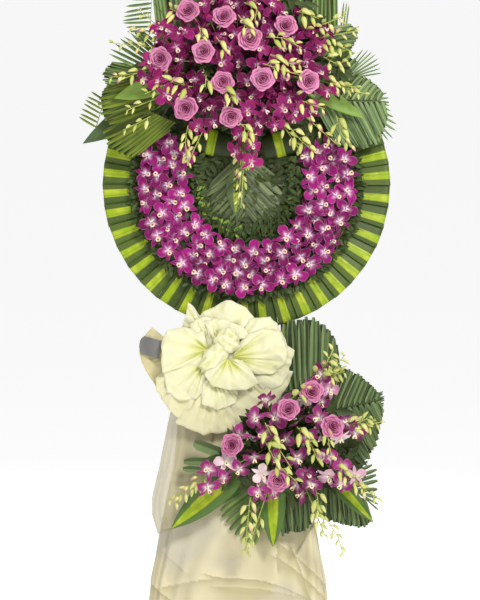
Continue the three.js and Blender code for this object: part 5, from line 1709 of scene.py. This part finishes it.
def add_orchids(prefix, finish, foam, bed, sprays, fillings, chains, roses, foam_half, patches,
                seed):
    """A whole spray's blooms, its buds with all stems, and its bed of leaves, as three pieces."""
    draw = random.Random(seed)
    blooms, buds, lines = Seats(), Seats(), []
    for measures in sprays:
        wanted = dict(measures)
        count, tail = wanted.pop("blooms"), wanted.pop("buds")
        spray(foam, bed, draw, blooms, buds, lines, count=count, tail=tail, **wanted)
    for filling in fillings:
        lines += fill(foam, draw, blooms, roses, **filling)
    for corners, y, count, size in chains:
        path = [Vector((x, y + 3 * math.cos(k * 2), z)) for k, (x, z) in enumerate(corners)]
        lines.append([(point, 1.0) for point in path])
        bud_chain(draw, buds, lines, path, count, size)
    node = f"{prefix}_orchids"
    finished(f"{prefix}_blooms", blooms.grow(f"{prefix}_blooms", "blooms", finish, seed),
             [node])
    green = [buds.grow(f"{prefix}_buds", "buds", bud_skin, seed + 1),
             stems(f"{prefix}_stems", lines, bud_skin, 5)]
    finished(f"{prefix}_buds", merged(green, f"{prefix}_buds"), [node])
    leaves = [bed_leaf_seats(seed + 2, foam, foam_half)
              .grow(f"{prefix}_leaves", "small_leaves", small_leaf, seed + 3),
              filler_seats(seed + 4, patches)
              .grow(f"{prefix}_fillers", "small_leaves", small_leaf, seed + 5),
              bed_mesh(foam, bed)]
    finished(f"{prefix}_bed", merged(leaves, f"{prefix}_bed"), [node])


add_orchids("top", spray_orchid, TOP_FOAM, TOP_BED, TOP_SPRAYS, TOP_FILLS, TOP_BUDS, TOP_ROSES,
            TOP_FOAM_HALF, TOP_PATCHES, TOP_SEED)
add_orchids("lower", lower_orchid, LOWER_FOAM, LOWER_BED, LOWER_SPRAYS, LOWER_FILLS, LOWER_BUDS,
            LOWER_ROSES, LOWER_FOAM_HALF, LOWER_PATCHES, LOWER_SEED)


# ---------------------------------------------------------------- bow and tag
BOW_CENTRE = Vector((-65, -30, -372))
BOW_LOBES = [
    # where it leaves the knot and its rim, across and up; depth, swell, creases, beige share
    ((-76, -352), [(-142, -312), (-133, -279), (-129, -257), (-116, -266), (-105, -284),
      (-87, -301)],
     -46, 8, 2, 0),
    ((-50, -352), [(-109, -297), (-96, -277), (-72, -268), (-45, -251), (-28, -255),
      (-1, -268), (19, -293)],
     -44, 15, 3, 0),
    ((-32, -367), [(8, -293), (34, -290), (52, -288), (67, -304), (78, -323), (89, -343),
      (91, -361)],
     -48, 15, 3, 0),
    ((-23, -378), [(85, -348), (107, -363), (100, -389), (94, -416), (78, -442), (43, -458)],
     -46, 13, 4, 0),
    ((-41, -396), [(104, -409), (92, -442), (66, -480), (36, -510), (4, -532), (-30, -542)],
     -42, 14, 3, 0.4),
    ((-76, -411), [(-10, -534), (-54, -546), (-94, -550), (-127, -538), (-157, -522)],
     -46, 13, 8, 0.4),
    ((-89, -398), [(-133, -526), (-162, -504), (-184, -477), (-199, -451), (-201, -425),
      (-184, -407)],
     -47, 14, 3, 0.35),
    ((-146, -363), [(-208, -312), (-228, -334), (-237, -365), (-230, -394), (-215, -420),
      (-197, -447)],
     -34, 2, 2, 1),
    ((-60, -386), [(-160, -386), (-130, -320), (-60, -290), (30, -320), (60, -386),
      (30, -470), (-60, -510), (-140, -470), (-160, -386)],
     -42, 2, 0, 0.5),
    ((-80, -354), [(-129, -310), (-111, -295), (-89, -288), (-72, -293)],
     -58, 9, 2, 0),
    ((-65, -352), [(-96, -299), (-72, -293), (-41, -297), (-6, -312), (12, -332)],
     -60, 11, 3, 0),
    ((-85, -363), [(-94, -319), (-138, -312), (-177, -319), (-188, -352), (-188, -385),
      (-186, -414), (-133, -398), (-94, -398)],
     -60, 14, 4, 0),
    ((-32, -378), [(-6, -332), (34, -315), (76, -321), (91, -363), (89, -389), (61, -416),
      (16, -416)],
     -60, 13, 6, 0),
    ((-88, -386), [(-87, -447), (-111, -471), (-146, -475), (-175, -455), (-186, -396)],
     -56, 12, 3, 0.1),
    ((-67, -407), [(-14, -447), (-23, -482), (-63, -495), (-98, -482), (-102, -442)],
     -56, 11, 6, 0),
    ((-41, -381), [(-94, -400), (-91, -422), (-74, -442), (-41, -451), (-1, -451),
      (28, -436), (12, -409), (-8, -385)],
     -70, 15, 4, 0),
]
BOW_GRID, KNOT_GRID, TAG_GRID = (30, 64), (12, 40), (10, 14)
TURNED_AT = 0.88  # share of the way from the knot at which a lobe turns back under
CRUSH_HEIGHT, CREASE_HEIGHT = 13, 6
KNOT_PUFFS = [
    # middle across, up and forward; half width, height and depth; turn in degrees
    (20, 30, -74, 31, 29, 17, 20), (-6, -6, -74, 46, 25, 17, -55), (2, 8, -58, 62, 50, 8, 10),
]


def bow_lobe(apex, rim, depth, swell, creases, beige, seed):
    """One billow of ribbon: out from the knot to a crumpled rim, and a little back under."""
    draw = random.Random(seed)
    shift = Vector((seed * 4.7, seed * 2.3, 0))
    valleys = [(draw.uniform(0.08, 0.92), draw.uniform(3, 8), draw.uniform(0.03, 0.1))
               for _ in range(creases + 2)]
    foot = Vector(apex)
    fold_shades = []

    def place(u, v):
        out = v / TURNED_AT if v < TURNED_AT else 1 - (v - TURNED_AT) * 0.5
        edge = along_line(rim, u)
        wave = 1 + 0.025 * noise.noise(Vector((u * 9, seed, 0)))
        spot = foot + (edge - foot) * (0.03 + 0.97 * out * wave)
        near = Vector((spot.x, spot.y, 0)) * 0.02 + shift
        crush = 0.32 - abs(noise.noise(near))
        crease = 0.25 - abs(noise.noise(near * 1.9 + shift))
        valley = max([deep * max(0, 1 - abs(u - at) / wide) for at, deep, wide in valleys])
        side = abs(2 * u - 1) ** 5
        lift = swell * math.sin(math.pi * min(1, 0.1 + 0.74 * out)) ** 0.8
        lift += (crush * CRUSH_HEIGHT + crease * CREASE_HEIGHT) * min(1, out * 1.4)
        lift -= valley * (1.3 - out) * min(1, out * 4) + 6 * side * out
        if v > TURNED_AT:
            lift -= 2 + 40 * (v - TURNED_AT)
        # Painted shade: darker towards the knot, in the creases and where the cloth is crushed in.
        deep = 1.1 * max(0, 1 - out * 2.1) + 0.1 * valley * (1.1 - out)
        fold_shades.append(min(1, max(0, deep + 0.5 * max(0, -crush))))
        return (spot.x, depth - lift, spot.y)

    return Shape().grid(*BOW_GRID, place, beige), fold_shades


def knot_puff(across, up, y, wide, high, deep, turn, seed):
    """A crumpled fold of ribbon over the knot."""
    shift = Vector((seed * 7.1, 2.0, seed))
    middle = Vector((BOW_CENTRE.x + across, y, BOW_CENTRE.z + up))
    spin = Matrix.Rotation(math.radians(turn), 3, "Y")
    fold_shades = []

    def place(u, v):
        angle, polar = 2 * math.pi * u, math.pi * 0.62 * v
        flat = Vector((math.cos(angle) * math.sin(polar), -math.cos(polar),
                       math.sin(angle) * math.sin(polar)))
        crease = 0.5 - abs(noise.noise(flat * 1.7 + shift))
        ray = math.cos(angle * 7 + seed) * 0.05 * math.sin(polar)
        size = 0.8 + 0.5 * crease + ray
        # Painted shade in the creases, deeper towards the puff's rim.
        fold_shades.append(min(1, max(0, 0.5 - crease * 1.4 + 0.3 * v)))
        return middle + spin @ Vector((flat.x * wide * size, flat.y * deep * size,
                                       flat.z * high * size))

    return Shape().grid(*KNOT_GRID, place), fold_shades


def cloth_mesh(shape, name, fold_shades, finish):
    """A sheet in its place, which carries for each point the painted shade of its fold, crease or
    lap.
    """
    mesh = shape.mesh(name)
    carry(mesh, "fold", fold_shades)
    return placed(mesh, finish)


def bow_mesh():
    """All lobes and the knot, as one sheet."""
    whole, fold_shades = Shape(), []
    sheets = [bow_lobe(*lobe, seed=seed + 3) for seed, lobe in enumerate(BOW_LOBES)]
    sheets += [knot_puff(*puff, seed=seed + 1) for seed, puff in enumerate(KNOT_PUFFS)]
    for shape, depth in sheets:
        whole.add(shape)
        fold_shades += depth
    return cloth_mesh(whole, "bow_loops", fold_shades, bow_cloth)


bow_sheet = bow_mesh()
bow = finished("bow_loops", bow_sheet, ["bow"])

TAG_WIDTH, TAG_HEIGHT = 46, 40
TAG_X, TAG_Y, TAG_Z = -212, -48.0, -356
TAG_SLOPE, TAG_LEAN = -0.28, 0.12


def tag_mesh():
    """The bare end of a satin ribbon, bent a little, that stands out behind the bow."""
    fold_shades = []

    def place(u, v):
        bend = 1.6 * math.sin(u * 5.0) + 0.7 * math.sin(v * 6.0 + u * 2)
        # Painted shade that follows the ribbon's bend.
        fold_shades.append(0.3 + 0.3 * math.sin(u * 5.0))
        x, z = (u - 0.5) * TAG_WIDTH, (v - 0.5) * TAG_HEIGHT
        x += 9 * (1 - u) * (abs(2 * v - 1) ** 3)
        return (TAG_X + x + TAG_LEAN * z, TAG_Y + bend, TAG_Z + z + TAG_SLOPE * x)

    return cloth_mesh(Shape().grid(*TAG_GRID, place), "ribbon_end", fold_shades, tag_cloth)


tag = finished("ribbon_end", tag_mesh(), ["ribbon_tag"])

# ---------------------------------------------------------------- skirt and sheer panel
SKIRT_TURN, SKIRT_BACK = 104, 24
FOAM_BACK, FOAM_REACH = -27.2, (86, 64)
# Levels: up on the board, left edge, right edge, front.
SKIRT_LEVELS = [
    (-384, -140, 138, -19.2), (-480, -146, 142, -26), (-620, -160, 146, -26),
    (-740, -186, 148, -34), (-860, -206, 168, -44), (-1136, -236, 196, -62),
]
SHEER_LEVELS = [
    (-480, -160, 142, -26), (-620, -188, 146, -26), (-690, -204, 148, -30), (-724, -204, 148, -32),
    (-770, -189, 148, -37),
]
# Pleats: how many go round, depth, phase.
SKIRT_PLEATS = [(6, 0.7, 0.0), (11, 0.5, 0.3), (17, 0.28, 0.6)]
SHEER_PLEATS = [(6, 0.7, 0.2), (15, 0.6, 0.1)]
PLEAT_DEPTH, PLEAT_FALL = 5.2, 750
# Edges of overlapping cloth: from and to across and up, how far it stands out, how it fades.
LAPS = [
    (34, -792, 182, -886, 5.0, 22), (21, -818, 182, -918, 4.0, 30),
    (-41, -856, 190, -940, 5.0, 50), (-226, -868, -120, -916, 3.4, 40),
    (140, -748, 62, -816, 4.0, 26), (-160, -884, -47, -866, 3.0, 50),
    (-60, -966, 190, -1050, 4.0, 60), (-200, -1010, 20, -1090, 3.4, 50),
    (21, -840, 21, -786, 3.4, 40), (-176, -800, -96, -846, 3.2, 30),
    (60, -800, 110, -906, 3.4, 26), (-20, -884, 60, -902, 3.4, 30),
]
LAP_END, LIT_FADE, SHADE_FADE, LIT, SHADE = 20, 12, 11, 0.3, 1.0


def lap_at(x, z):
    """How far the overlapping layers stand out at a point, and how deep its shade is."""
    height, shade = 0.0, 0.0
    for ax, az, bx, bz, stand, fade in LAPS:
        run = Vector((bx - ax, bz - az))
        length = run.length
        run /= length
        off = Vector((x - ax, z - az))
        along, across = off.dot(run), off.y * run.x - off.x * run.y
        inside = (min(1, max(0, 1 + along / LAP_END))
                  * min(1, max(0, 1 + (length - along) / LAP_END)))
        if across >= 0:
            height += stand * inside * math.exp(-across / fade)
            shade -= LIT * inside * math.exp(-across / LIT_FADE)
        else:
            shade += SHADE * inside * math.exp(across / SHADE_FADE)
    return height, shade


def level_at(levels, z):
    """The curtain's width and front at a height, run smoothly between its levels."""
    for upper, lower in zip(levels, levels[1:]):
        if z >= lower[0]:
            share = (upper[0] - z) / (upper[0] - lower[0])
            return [a + (b - a) * share for a, b in zip(upper[1:], lower[1:])]
    return levels[-1][1:]


def curtain_mesh(name, finish, levels, first, last, grow, pleats, grid, wraps=False, slant=0.0):
    """Cloth round the front of the legs, from a first to a last share of the way round, with
    pleats that open out towards its hem, and overlapping layers where it wraps."""
    top, bottom = levels[0][0], levels[-1][0]
    fold_shades = []

    def place(u, v):
        z = top + (bottom - top) * v * (1 - slant * u)
        left, right, front = level_at(levels, z)
        share = first + (last - first) * u
        turn = math.radians((share * 2 - 1) * SKIRT_TURN)
        wide, deep = math.sin(turn), math.cos(turn)
        fall = max(0.0, (top - z) / PLEAT_FALL)
        drift = share + 0.10 * fall * math.sin(z * 0.006 + 1)
        fold = sum(amount * math.cos(2 * math.pi * (count * drift + phase))
                   for count, amount, phase in pleats)
        fold *= (0.18 + 0.82 * fall) * PLEAT_DEPTH
        fold += noise.noise(Vector((share * 14, z * 0.012, 3))) * 2.6
        fold += noise.noise(Vector((share * 46, z * 0.03, 9))) * 1.0
        half = (right - left) / 2 + grow
        lap, shade = lap_at((left + right) / 2 + half * wide, z) if wraps else (0, 0)
        # Painted shade in the pleats' hollows and just beyond each lap edge, painted light on the
        # layer that laps over it.
        fold_shades.append(min(1, max(0, 0.3 - fold / 14 + shade)))
        fold += lap
        x = (left + right) / 2 + (half + fold * 0.5 * abs(wide)) * math.copysign(
            math.sqrt(abs(wide)), wide)
        y = SKIRT_BACK - (SKIRT_BACK - front + grow + fold) * math.copysign(
            math.sqrt(abs(deep)), deep)
        if abs(x - LOWER_FOAM["x"]) < FOAM_REACH[0] and abs(z - LOWER_FOAM["z"]) < FOAM_REACH[1]:
            y = max(y, FOAM_BACK)  # pressed flat by the foam
        return (x, y, z)

    return cloth_mesh(Shape().grid(*grid, place), name, fold_shades, finish)


skirt_sheet = curtain_mesh("skirt_cloth", skirt_cloth, SKIRT_LEVELS, first=0, last=1, grow=0.8,
                           pleats=SKIRT_PLEATS, grid=(230, 210), wraps=True)
skirt = finished("skirt_cloth", skirt_sheet, ["skirt"])
sheer_sheet = curtain_mesh("sheer_cloth", sheer_cloth, SHEER_LEVELS, first=1 / 13,
                           last=6 / 13, grow=4.2, pleats=SHEER_PLEATS, grid=(40, 90), slant=0.1)
sheer = finished("sheer_cloth", sheer_sheet, ["sheer_panel"])

# ---------------------------------------------------------------- forms out
for collection in FORM_SETS.values():
    for form in list(collection.objects):
        bpy.data.objects.remove(form)
    bpy.data.collections.remove(collection)
